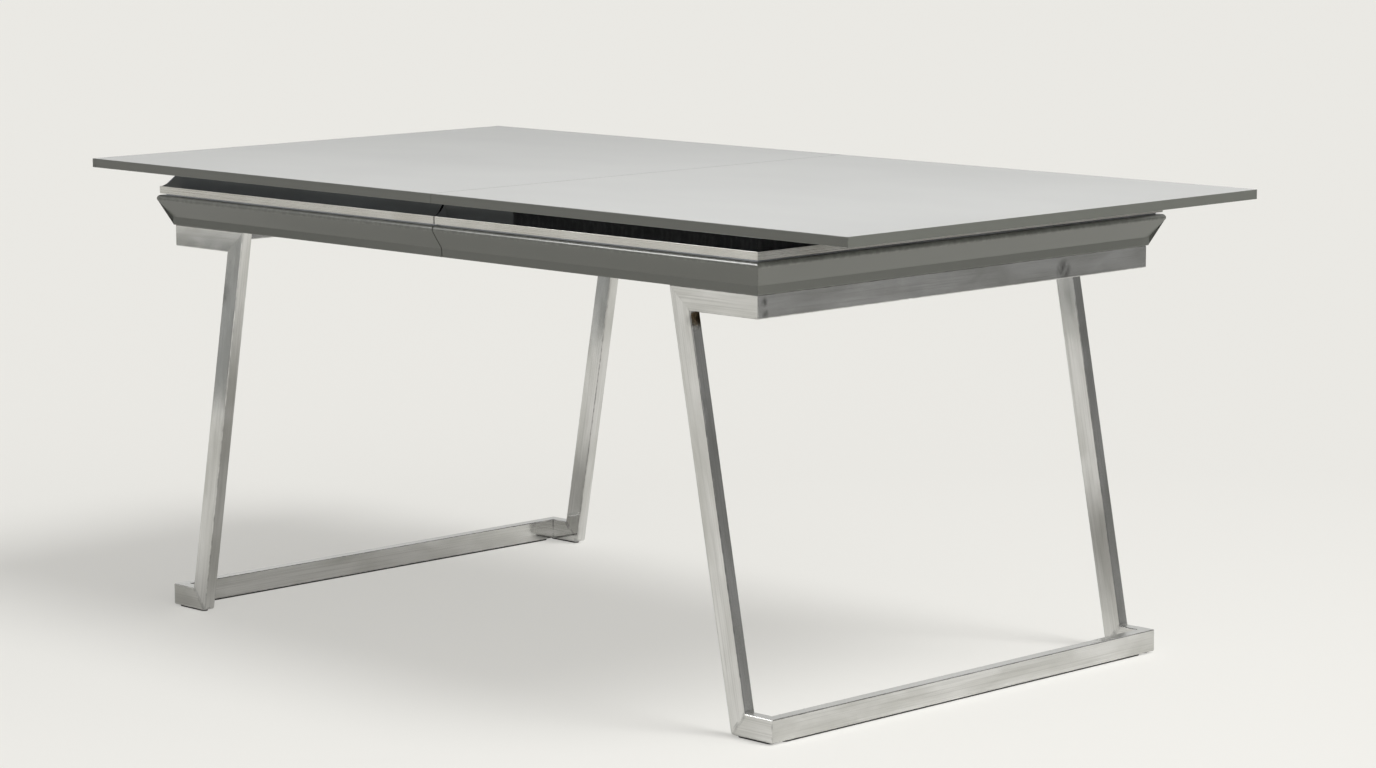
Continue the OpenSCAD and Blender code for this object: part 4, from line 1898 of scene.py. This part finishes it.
@dataclass
class TrimStrip:
    """The bright flat strip round the foot of the slope, in three mitred lengths.

    Attributes:
        side: Which half it is.
        thick: The strip's thickness.
        outside: From the nose in to the strip's face.
        edge: The radius of its long edges.
        corner: The radius of the upright corners at the mitres.
        arris: What is taken off the edges at the gap.
        play: What the mitres leave open.
    """

    side: Side
    thick: float = 1.5 * MM
    outside: float = 4 * MM
    edge: float = 0.4 * MM
    corner: float = 0.6 * MM
    arris: float = 0.12 * MM
    play: float = 0.15 * MM

    def build(self) -> Piece:
        """Builds and dresses the strip.

        Returns:
            The finished strip.
        """
        low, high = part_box("right_trim_strip")
        height = high.z - low.z
        flat = Section.rounded(self.thick, height, self.edge, 3)
        run = EdgeRun(
            self.side,
            flat.moved(-self.outside - self.thick / 2, height / 2),
            low.z,
            2 * low.x,
            self.corner,
            self.arris,
            self.play,
        )
        return half_piece(self.side, "trim_strip", "lengths", run.whole(), STRIP)


@dataclass
class SealStrip:
    """A black strip under the right panel, just outside the slope's top: a dark piece
    put in as painted shade for the dark band there.

    Attributes:
        width: The strip's width.
        thick: Its thickness.
        edge: The radius of its long edges.
        outside: From the nose in to the strip's outer edge.
        start: How far from the middle of the table it begins.
        corner: The radius of the upright corners at the mitres.
        arris: What is taken off the edges where it begins.
        play: What the mitres leave open.
        room: What is left between the strip and the panel.
    """

    width: float = 12 * MM
    thick: float = 0.8 * MM
    edge: float = 0.25 * MM
    outside: float = 10.5 * MM
    start: float = 155 * MM
    corner: float = 0.3 * MM
    arris: float = 0.2 * MM
    play: float = 0.1 * MM
    room: float = 0.01 * MM

    def build(self) -> Piece:
        """Builds and dresses the strip.

        Returns:
            The finished strip.
        """
        flat = Section.rounded(self.width, self.thick, self.edge, 2)
        run = EdgeRun(
            Side.RIGHT,
            flat.moved(-self.outside - self.width / 2, -self.thick / 2),
            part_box("right_top_panel")[0].z - self.room,
            2 * self.start,
            self.corner,
            self.arris,
            self.play,
        )
        strip = to_piece("right_seal_strip", run.whole())
        return hand_over(strip, RUBBER, Side.RIGHT.body)


# ---- Leg frames --------------------------------------------------------------------


def stadium(start: Point2, end: Point2, radius: float) -> Section:
    """Gives an outline with straight sides and round ends.

    Args:
        start: The centre of one end.
        end: The centre of the other end.
        radius: The radius of both ends.

    Returns:
        The outline.
    """
    along = (Vector(end) - Vector(start)).normalized()
    first = math.atan2(along.y, along.x)
    right, left = first - math.pi / 2, first + math.pi / 2
    points = arc(end, radius, right, left, 12)
    points += arc(start, radius, left, left + math.pi, 12)
    return Section(tuple(points))


@dataclass
class LegFrame:
    """One steel frame: beam, two arms, two leaning legs, two feet and a crossbar.

    Attributes:
        side: Which end it carries.
        tube: The tube's depth and height.
        edge: The radius of the tube's edges.
        heel: The radius of the heel between leg and foot.
        elbow: How far beyond its corner the outer side's first ring lies, at the heel.
        weld: What is taken off the edges at a ground weld.
        corner: The radius of the upright corners, ground round after welding.
        pad_width: The width of the floor pads.
        pad_inset: From the crossbar's outer face to the end of a foot's pad.
        pad_gap: From a foot's pad to the crossbar's.
        pad_arris: What is taken off a pad's edges, below and above.
        bolt_spots: The places of a corner's bolts, from the tubes' inner corner.
    """

    side: Side
    tube: Point2 = (20 * MM, 35 * MM)
    edge: float = 1.6 * MM
    heel: float = 6 * MM
    elbow: float = 1.2 * MM
    weld: float = 0.06 * MM
    corner: float = 1.8 * MM
    pad_width: float = 12 * MM
    pad_inset: float = 8 * MM
    pad_gap: float = 14 * MM
    pad_arris: Point2 = (0.5 * MM, 0.05 * MM)
    bolt_spots: tuple[Point2, ...] = ((-29 * MM, -10 * MM), (-10 * MM, -29 * MM))

    def __post_init__(self) -> None:
        """Reads the frame's places from the CAD nodes of the right half."""
        beam_low, beam_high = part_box("right_top_beam")
        bar_low, bar_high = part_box("right_crossbar")
        leg_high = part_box("right_back_leg")[1]
        arms_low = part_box("right_arms")[0]
        self.beam_x, self.foot_x = beam_high.x, bar_high.x
        self.out_y = beam_high.y
        self.top, self.low = beam_high.z, beam_low.z
        self.foot_top, self.pad_top = bar_high.z, bar_low.z
        spread = leg_high.x - arms_low.x
        rise = self.top - self.foot_top
        width = self.tube[1]
        sloping = math.atan2(rise, spread)
        self.lean = math.acos(width / math.hypot(spread, rise)) - sloping
        self.arm_x = arms_low.x
        self.leg_w = width / math.cos(self.lean)

    def inner(self, z: float) -> Vector:
        """Gives the place of the leg's inner face at a height."""
        return Vector((self.arm_x + math.tan(self.lean) * (self.top - z), 0, z))

    def outer(self, z: float) -> Vector:
        """Gives the place of the leg's outer face at a height."""
        return self.inner(z) + ALONG_X * self.leg_w

    def side_mitre(self, inner_z: float, outer_z: float) -> Plane:
        """Gives the plane between the leg and a level tube.

        Args:
            inner_z: The height where it meets the leg's inner face.
            outer_z: The height where it meets the leg's outer face.

        Returns:
            The plane.
        """
        start, end = self.inner(inner_z), self.outer(outer_z)
        return Plane(start, (end - start).cross(ALONG_Y).normalized())

    def plan_mitre(self, x: float, face: Face = Face.BACK) -> Plane:
        """Gives the plane of a mitred corner seen from above."""
        corner = Vector((x, self.out_y * face.value, 0))
        return Plane(corner, ALONG_X - ALONG_Y * face.value)

    @property
    def section(self) -> Section:
        """The tube's outline, across its depth and its height."""
        return Section.rounded(*self.tube, self.edge, 4)

    def heel_reach(self) -> float:
        """Gives how far the heel's arc reaches from its corner."""
        return self.heel / math.tan((math.pi / 2 + self.lean) / 2)

    def heel_rings(self, way: Vector) -> tuple[tuple[Plane, Section], ...]:
        """Gives planes for the rings that follow the heel's arc.

        Args:
            way: The direction from the heel along the leg or along the foot.

        Returns:
            The planes, with an outline each.
        """
        rings = []
        for part in (0.2, 0.4, 0.6, 0.8, 1.0):
            start = self.inner(self.pad_top) + way * (self.heel_reach() * part)
            end = self.outer(self.foot_top) + way * (self.elbow * (1 + 3 * part))
            rings.append((Plane(start, (end - start).cross(ALONG_Y)), self.section))
        return tuple(rings)

    def round_heel(self, shape: Shape) -> None:
        """Draws the points round the heel's corner in onto its arc.

        Args:
            shape: The mesh code of a leg or a foot, at the right back.
        """
        corner = self.inner(self.pad_top).xz
        centre = corner + Vector((self.heel_reach(), self.heel))
        up_leg = Vector((-math.sin(self.lean), math.cos(self.lean)))
        inward = Vector((math.cos(self.lean), math.sin(self.lean)))
        for vert in shape.verts:
            spot = vert.co.xz
            off = spot - centre
            deep = min(spot.y - corner.y, (spot - corner).dot(inward))
            outside = off.x < 0 and off.dot(up_leg) < 0
            if outside and deep < self.heel and off.length > 0:
                vert.co.x, vert.co.z = centre + off.normalized() * (self.heel - deep)

    def level_bar(
        self,
        z: float,
        start: Plane,
        end: Plane,
        between: tuple[tuple[Plane, Section], ...] = (),
    ) -> Bar:
        """Gives an arm or a foot: a level tube along X at the back.

        Args:
            z: The height of its middle.
            start: The plane that cuts its inner end.
            end: The plane that cuts its outer end.
            between: Planes for further rings, with an outline each.

        Returns:
            The bar.
        """
        return Bar(
            self.section,
            Vector((0, self.out_y - self.tube[0] / 2, z)),
            ALONG_Y,
            UP,
            start,
            end,
            arris=(self.weld, 0.0),
            corner=(0.0, self.corner),
            between=between,
        )

    def cross_tube(self, x: float, z: float) -> Bar:
        """Gives the beam or the crossbar, mitred in plan at both ends.

        Args:
            x: The X of its outer face.
            z: The height of its middle.

        Returns:
            The bar.
        """
        return Bar(
            self.section,
            Vector((x - self.tube[0] / 2, 0, z)),
            ALONG_X,
            UP,
            self.plan_mitre(x, Face.FRONT),
            self.plan_mitre(x),
            corner=(self.corner, self.corner),
        )

    def leg_bar(self) -> Bar:
        """Gives the leg at the back, with rings for the heel's arc.

        Returns:
            The bar.
        """
        z = (self.top + self.pad_top) / 2
        middle_x = self.inner(z).x + self.leg_w / 2
        up_leg = Vector((-math.sin(self.lean), 0, math.cos(self.lean)))
        return Bar(
            self.section,
            Vector((middle_x, self.out_y - self.tube[0] / 2, z)),
            ALONG_Y,
            Vector((math.cos(self.lean), 0, math.sin(self.lean))),
            self.side_mitre(self.pad_top, self.foot_top),
            self.side_mitre(self.top, self.low),
            arris=(self.weld, self.weld),
            between=self.heel_rings(up_leg),
        )

    def foot_bar(self) -> Bar:
        """Gives the foot at the back, with rings for the heel's arc.

        Returns:
            The bar.
        """
        return self.level_bar(
            (self.foot_top + self.pad_top) / 2,
            self.side_mitre(self.pad_top, self.foot_top),
            self.plan_mitre(self.foot_x),
            self.heel_rings(ALONG_X),
        )

    def tubes(self) -> None:
        """Builds and dresses the arms, the beam and the crossbar."""
        level = (self.top + self.low) / 2
        mitre = self.side_mitre(self.top, self.low)
        arm = self.level_bar(level, mitre, self.plan_mitre(self.beam_x))
        shape = bmesh.new()
        for face in Face:
            arm.build(shape, quarter(self.side, face))
        half_piece(self.side, "arms", "tube", shape, steel_for(Grain.ALONG_TABLE))
        bar_z = (self.foot_top + self.pad_top) / 2
        across = steel_for(Grain.ACROSS_TABLE)
        for name, x, z in (
            ("top_beam", self.beam_x, level), ("crossbar", self.foot_x, bar_z)
        ):
            shape = bmesh.new()
            self.cross_tube(x, z).build(shape, quarter(self.side))
            half_piece(self.side, name, "tube", shape, across)

    def legs(self) -> None:
        """Builds and dresses the two legs."""
        grain = Grain.UP_RIGHT_LEG if self.side is Side.RIGHT else Grain.UP_LEFT_LEG
        up_leg = steel_for(grain, self.side.value * self.lean)
        for face in Face:
            shape = bmesh.new()
            self.leg_bar().build(shape)
            self.round_heel(shape)
            shape.transform(quarter(self.side, face))
            half_piece(self.side, f"{face.word}_leg", "tube", shape, up_leg)

    def feet(self) -> None:
        """Builds and dresses the two feet as one piece."""
        shape = bmesh.new()
        self.foot_bar().build(shape)
        self.round_heel(shape)
        shape.transform(quarter(self.side))
        back = bpy.data.meshes.new("foot")
        shape.to_mesh(back)
        back.transform(Matrix.Diagonal((1.0, -1.0, 1.0, 1.0)))
        shape.from_mesh(back)
        bpy.data.meshes.remove(back)
        half_piece(self.side, "feet", "tube", shape, steel_for(Grain.ALONG_TABLE))

    def pads(self) -> None:
        """Builds and dresses the rubber pads under the feet and the crossbar."""
        low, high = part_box("right_floor_pads")
        half = self.pad_width / 2
        middle_y = self.out_y - self.tube[0] / 2
        middle_x = self.foot_x - self.tube[0] / 2
        reach = middle_y - self.pad_width - self.pad_gap
        runs = [
            ((low.x + half, y), (self.foot_x - self.pad_inset - half, y))
            for y in (-middle_y, middle_y)
        ]
        runs.append(((middle_x, -reach), (middle_x, reach)))
        shape = bmesh.new()
        for start, end in runs:
            Bar(
                stadium(start, end, half),
                Vector(),
                ALONG_X,
                ALONG_Y,
                Plane(Vector((0, 0, low.z)), UP),
                Plane(Vector((0, 0, high.z)), UP),
                arris=self.pad_arris,
            ).build(shape, quarter(self.side))
        half_piece(self.side, "floor_pads", "rubber", shape, RUBBER)

    def bolts(self) -> None:
        """Sets the bolts that hold the frame to the apron's corner blocks."""
        node = f"{self.side.word}_frame_bolts"
        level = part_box("right_frame_bolts")[0].z
        corner = Vector((self.beam_x - self.tube[0], self.out_y - self.tube[0]))
        spots = []
        for face in Face:
            for offset in self.bolt_spots:
                spot = corner + Vector(offset)
                spots.append((spot.x * self.side.value, spot.y * face.value, level))
        part = FrameBolt().part()
        piece = ON_SPOTS.grow(node + "_zinc", part, ZINC, spots, (math.pi, 0.0, 0.0))
        discard(part)
        hand_over(piece, ZINC, self.side.body, [node])

    def build(self) -> None:
        """Builds and dresses the frame's tubes, pads and bolts."""
        self.tubes()
        self.legs()
        self.feet()
        self.pads()
        self.bolts()


# ---- Under the top -----------------------------------------------------------------


@dataclass
class Underworks:
    """What the top hides: rails, carriage, rack and pinion, leaf and locks.

    Attributes:
        dowel: The dowel glued into the right panel and the leaf.
    """

    dowel: Dowel = Dowel()

    def dress_nodes(self) -> None:
        """Gives every hidden CAD node the finish of what it is made of."""
        for side in Side:
            for part, finish in (
                ("corner_blocks", BEECH),
                ("cross_rail", BEECH),
                ("slide_battens", LONG_BEECH),
                ("mounting_plates", steel_for(Grain.ALONG_TABLE)),
                ("rack", NYLON),
            ):
                redress(f"{side.word}_{part}", finish)
        for finish, nodes in (
            (EXTRUSION, ("outer_channels", "inner_channels", "middle_rails")),
            (ZINC, ("outer_stop_pins", "inner_stop_pins", "pinion_plate")),
            (ZINC, ("pinion_axle", "lock_brackets")),
            (NYLON, ("rail_glides", "equaliser_pinion")),
            (ROLLED_BRASS, ("leaf_hinges",)),
            (COAT, ("carriage_bearers", "front_lock_lever", "back_lock_lever")),
            (LACQUER, ("leaf_upper_half", "leaf_lower_half")),
        ):
            for node in nodes:
                redress(node, finish)

    def dowels(self) -> None:
        """Sets the fluted dowels of the seam and of the leaf."""
        part = self.dowel.part()
        low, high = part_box("seam_dowels")
        spots = [(0.0, y, (low.z + high.z) / 2) for y in seam_dowel_ys()]
        seam = ON_SPOTS.grow("seam_dowels_fluted", part, BEECH, spots)
        hand_over(seam, BEECH, "right_half", ["seam_dowels"])
        low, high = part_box("leaf_dowels")
        radius = self.dowel.radius
        spots = [
            ((low.x + high.x) / 2, y, z)
            for y in (low.y + radius, high.y - radius)
            for z in (low.z + radius, high.z - radius)
        ]
        leaf = ON_SPOTS.grow("leaf_dowels_fluted", part, BEECH, spots)
        hand_over(leaf, BEECH, "leaf_carriage", ["leaf_dowels"])
        discard(part)

    def build(self) -> None:
        """Dresses the hidden nodes and sets their dowels."""
        self.dress_nodes()
        self.dowels()


# ---- Studio ------------------------------------------------------------------------


@dataclass(frozen=True)
class Card:
    """A card that only mirrors see.

    Attributes:
        name: The card's name.
        centre: The middle of its lower edge.
        facing: The direction that it faces.
        size: Its width and height.
        tones: The light of its lower and its upper part.
        fade: The heights that the light changes between.
    """

    name: str
    centre: tuple[float, float, float]
    facing: tuple[float, float, float]
    size: Point2
    tones: tuple[Colour, Colour]
    fade: Point2 = (0.25, 0.75)

    def stand(self) -> None:
        """Makes the card and hides it from all but mirrors."""
        centre, facing = Vector(self.centre), Vector(self.facing)
        across = UP.cross(facing).normalized() * (self.size[0] / 2)
        rise = facing.cross(across).normalized() * self.size[1]
        corners = [
            centre - across,
            centre + across,
            centre + across + rise,
            centre - across + rise,
        ]
        mesh = bpy.data.meshes.new(self.name)
        mesh.from_pydata([tuple(c) for c in corners], [], [(0, 1, 2, 3)])
        mesh.materials.append(self.material())
        card = placed(self.name, mesh)
        card.visible_camera = False
        card.visible_diffuse = False
        card.visible_shadow = False
        card.visible_transmission = False
        card.visible_volume_scatter = False

    def material(self) -> bpy.types.Material:
        """Makes the card's plain light.

        Returns:
            The material.
        """
        material = bpy.data.materials.new(self.name)
        tree = emptied(material)
        place = add_node(tree, "ShaderNodeTexCoord")
        parts = add_node(
            tree, "ShaderNodeSeparateXYZ", links={0: place.outputs["Object"]}
        )
        height = add_node(
            tree,
            "ShaderNodeMapRange",
            {1: self.fade[0], 2: self.fade[1]},
            {0: parts.outputs["Z"]},
        )
        tone = add_node(
            tree,
            "ShaderNodeMix",
            {"data_type": "RGBA", 6: self.tones[0], 7: self.tones[1]},
            {0: height.outputs[0]},
        )
        light = add_node(
            tree, "ShaderNodeEmission", {"Strength": 1.0}, {"Color": tone.outputs[2]}
        )
        add_node(tree, "ShaderNodeOutputMaterial", links={0: light.outputs[0]})
        return material


BRIGHT = ((12.0, 12.0, 11.8, 1.0),) * 2
PALE = ((1.5, 1.5, 1.48, 1.0),) * 2
LOW_GREY = (linear("#A3A4A1"),) * 2
MID_GREY = (linear("#8C8C8B"),) * 2
FRONT_GREY = (linear("#8F9091"), linear("#6E6F70"))
RIGHT_GREY = (linear("#939391"), linear("#80807E"))
# The cards that shape what the steel and the lacquer mirror.
CARDS = (
    Card("front card", (2.6, -3.2, 0.0), (-0.6, 0.8, 0.0), (9.0, 1.1), FRONT_GREY),
    Card("right card", (3.0, 2.3, 0.0), (-0.75, -0.66, 0.0), (6.0, 1.5), RIGHT_GREY),
    Card("bright card", (-1.57, -2.18, 1.7), (0.7, 0.34, -0.62), (1.1, 1.2), BRIGHT),
    Card("low left card", (-2.48, -1.76, 0), (0.79, 0.6, 0), (0.95, 0.4), LOW_GREY),
    Card("low far card", (-2.05, -2.55, 0.0), (0.0, 1.0, 0.0), (0.55, 0.2), LOW_GREY),
    Card("low back card", (-4.1, 4.5, 0.45), (0.7, -0.7, 0), (9.0, 0.85), MID_GREY),
    Card("back card", (-4.2, 4.6, 1.3), (0.7, -0.7, 0.0), (9.0, 2.8), PALE),
)


@dataclass
class Studio:
    """The floor, the soft room light and the key light.

    Attributes:
        floor: Half the size of the floor.
        floor_low: How far the floor lies under the table's pads.
        floor_near: The floor's colour in front of the table on the right, lighter there
            as a painted pool of light.
        floor_far: The floor's colour far away, and the backdrop's.
        near_place: The middle of that painted pool of light.
        near_reach: The distances from it that the colour changes between.
        ceiling: What mirrors see above the backdrop.
        ceiling_rise: The steepness that the ceiling takes over between.
        lift: The share of the floor that shows its plain colour, like a lit backdrop.
        mirror_lift: The same share for mirrors, which show the shadow deeper.
        room: The colour of the room's light.
        room_side: How the room's light grows towards the right and the back.
        room_middle: The room's light from the front and the back, as a share.
        room_least: The least of the room's light, as a share.
        horizon: The strength of the room's light at the horizon.
        zenith: The strength of the room's light from straight above.
        sun: The strength of the key light.
        sun_way: The direction towards the key light.
        sun_spread: The angle that the key light spans, which softens its shadows.
    """

    floor: float = 60.0
    floor_low: float = 0.2 * MM
    floor_near: str = "#F2F1ED"
    floor_far: str = "#EAE9E5"
    near_place: tuple[float, float, float] = (1.8, -0.6, 0.0)
    near_reach: Point2 = (0.8, 3.2)
    ceiling: str = "#8A8B8D"
    ceiling_rise: Point2 = (0.5, 0.65)
    lift: float = 0.5
    mirror_lift: float = 0.2
    room: Colour = (1.0, 0.985, 0.95, 1.0)
    room_side: tuple[float, float, float] = (2.1, 0.55, 0.0)
    room_middle: float = 0.5
    room_least: float = 0.2
    horizon: float = 0.95
    zenith: float = 0.45
    sun: float = 1.85
    sun_way: tuple[float, float, float] = (0.56, 0.17, 0.81)
    sun_spread: float = math.radians(26)

    def seen(self, tree: Tree) -> Socket:
        """Gives one for rays from the camera, a mirror or through glass.

        Args:
            tree: The node tree.

        Returns:
            The factor.
        """
        ray = add_node(tree, "ShaderNodeLightPath")
        total = ray.outputs["Is Camera Ray"]
        for kind in ("Is Glossy Ray", "Is Transmission Ray"):
            either = add_node(
                tree,
                "ShaderNodeMath",
                {"operation": "MAXIMUM"},
                {0: total, 1: ray.outputs[kind]},
            )
            total = either.outputs[0]
        return total

    def floor_tone(self, tree: Tree) -> Socket:
        """Gives the floor's colour, with a painted pool of light in front of the table
        on the right.

        Args:
            tree: The floor's node tree.

        Returns:
            The colour.
        """
        place = add_node(tree, "ShaderNodeTexCoord")
        away = add_node(
            tree,
            "ShaderNodeVectorMath",
            {"operation": "DISTANCE", 1: self.near_place},
            {0: place.outputs["Object"]},
        )
        far = add_node(
            tree,
            "ShaderNodeMapRange",
            {1: self.near_reach[0], 2: self.near_reach[1]},
            {0: away.outputs["Value"]},
        )
        tone = add_node(
            tree,
            "ShaderNodeMix",
            {
                "data_type": "RGBA",
                6: linear(self.floor_near),
                7: linear(self.floor_far),
            },
            {0: far.outputs[0]},
        )
        return tone.outputs[2]

    def floor_material(self) -> bpy.types.Material:
        """Makes the floor's finish, which keeps the table's shadow.

        Returns:
            The material.
        """
        material = bpy.data.materials.new("matte studio floor")
        tree = emptied(material)
        tone = self.floor_tone(tree)
        lit = add_node(tree, "ShaderNodeBsdfDiffuse", links={"Color": tone})
        shown = add_node(tree, "ShaderNodeEmission", {"Strength": 1.0}, {"Color": tone})
        ray = add_node(tree, "ShaderNodeLightPath")
        mirrored = add_node(
            tree,
            "ShaderNodeMath",
            {"operation": "MULTIPLY", 1: self.mirror_lift},
            {0: self.seen(tree)},
        )
        share = add_node(
            tree,
            "ShaderNodeMath",
            {"operation": "MULTIPLY_ADD", 1: self.lift - self.mirror_lift},
            {0: ray.outputs["Is Camera Ray"], 2: mirrored.outputs[0]},
        )
        both = add_node(
            tree,
            "ShaderNodeMixShader",
            links={0: share.outputs[0], 1: lit.outputs[0], 2: shown.outputs[0]},
        )
        add_node(tree, "ShaderNodeOutputMaterial", links={0: both.outputs[0]})
        return material

    def lay_floor(self) -> None:
        """Lays the pale floor."""
        mesh = bpy.data.meshes.new("studio_floor")
        reach = self.floor
        corners = [(-reach, -reach), (reach, -reach), (reach, reach), (-reach, reach)]
        mesh.from_pydata(
            [(x, y, -self.floor_low) for x, y in corners], [], [(0, 1, 2, 3)]
        )
        mesh.materials.append(self.floor_material())
        placed("studio_floor", mesh)

    def room_light(self, tree: Tree, way: Socket, height: Socket) -> Socket:
        """Gives the room's light, which comes most from the right.

        Args:
            tree: The world's node tree.
            way: The direction that is looked in.
            height: The height of that direction.

        Returns:
            The light.
        """
        rise = add_node(
            tree, "ShaderNodeMapRange", {3: self.horizon, 4: self.zenith}, {0: height}
        )
        lean = add_node(
            tree,
            "ShaderNodeVectorMath",
            {"operation": "DOT_PRODUCT", 1: self.room_side},
            {0: way},
        )
        share = add_node(
            tree,
            "ShaderNodeMath",
            {"operation": "ADD", 1: self.room_middle},
            {0: lean.outputs["Value"]},
        )
        held = add_node(
            tree,
            "ShaderNodeMath",
            {"operation": "MAXIMUM", 1: self.room_least},
            {0: share.outputs[0]},
        )
        level = add_node(
            tree,
            "ShaderNodeMath",
            {"operation": "MULTIPLY"},
            {0: held.outputs[0], 1: rise.outputs[0]},
        )
        light = add_node(
            tree,
            "ShaderNodeBackground",
            {"Color": self.room},
            {"Strength": level.outputs[0]},
        )
        return light.outputs[0]

    def light_room(self) -> None:
        """Sets the room's light, and the backdrop and ceiling that mirrors see."""
        world = bpy.data.worlds.new("studio room")
        bpy.context.scene.world = world
        tree = emptied(world)
        way = add_node(tree, "ShaderNodeTexCoord").outputs["Generated"]
        parts = add_node(tree, "ShaderNodeSeparateXYZ", links={0: way})
        height = parts.outputs["Z"]
        high = add_node(
            tree,
            "ShaderNodeMapRange",
            {1: self.ceiling_rise[0], 2: self.ceiling_rise[1]},
            {0: height},
        )
        tone = add_node(
            tree,
            "ShaderNodeMix",
            {"data_type": "RGBA", 6: linear(self.floor_far), 7: linear(self.ceiling)},
            {0: high.outputs[0]},
        )
        backdrop = add_node(
            tree, "ShaderNodeBackground", {"Strength": 1.0}, {"Color": tone.outputs[2]}
        )
        light = self.room_light(tree, way, height)
        shown = add_node(
            tree,
            "ShaderNodeMixShader",
            links={0: self.seen(tree), 1: light, 2: backdrop.outputs[0]},
        )
        add_node(tree, "ShaderNodeOutputWorld", links={0: shown.outputs[0]})

    def hang_sun(self) -> None:
        """Hangs the soft key light."""
        lamp = bpy.data.lights.new("key light", "SUN")
        lamp.energy = self.sun
        lamp.angle = self.sun_spread
        sun = placed("key light", lamp)
        sun.rotation_euler = Vector(self.sun_way).to_track_quat("Z", "Y").to_euler()

    def build(self) -> None:
        """Sets up the whole studio."""
        self.lay_floor()
        self.light_room()
        self.hang_sun()
        for card in CARDS:
            card.stand()


@dataclass
class Viewpoint:
    """The camera, at the height and distance of someone standing at the corner.

    Attributes:
        place: Where it stands.
        heading: Its turn about the vertical, in degrees.
        dip: How far it looks down, in degrees.
        roll: Its roll, in degrees.
        lens: Its focal length, in millimetres.
        sensor: Its sensor's width, in millimetres.
        clip: The nearest and the farthest that it sees.
    """

    place: tuple[float, float, float] = (4.4762, -4.3076, 1.3338)
    heading: float = 45.5
    dip: float = 8.5
    roll: float = -0.2
    lens: float = 100.98
    sensor: float = 36.0
    clip: Point2 = (0.05, 300.0)

    def build(self) -> None:
        """Makes the camera and the scene's view settings."""
        data = bpy.data.cameras.new("viewpoint")
        data.lens = self.lens
        data.sensor_fit = "HORIZONTAL"
        data.sensor_width = self.sensor
        data.clip_start, data.clip_end = self.clip
        camera = placed("viewpoint", data)
        turn = (
            Matrix.Rotation(math.radians(self.heading), 4, "Z")
            @ Matrix.Rotation(math.radians(90 - self.dip), 4, "X")
            @ Matrix.Rotation(math.radians(self.roll), 4, "Z")
        )
        camera.matrix_world = Matrix.Translation(self.place) @ turn
        bpy.context.scene.camera = camera
        bpy.context.scene.view_settings.view_transform = "Standard"


def main() -> None:
    """Builds the table, the studio and the camera."""
    logging.basicConfig(level=logging.INFO, format="%(name)s: %(message)s")
    Viewpoint().build()
    for side in Side:
        LOG.info("building the %s half", side.word)
        TopPanel(side).build()
        ApronMoulding(side).build()
        CoveFrame(side).build()
        TrimStrip(side).build()
        LegFrame(side).build()
    SealStrip().build()
    Underworks().build()
    Studio().build()


if __name__ == "__main__":
    main()
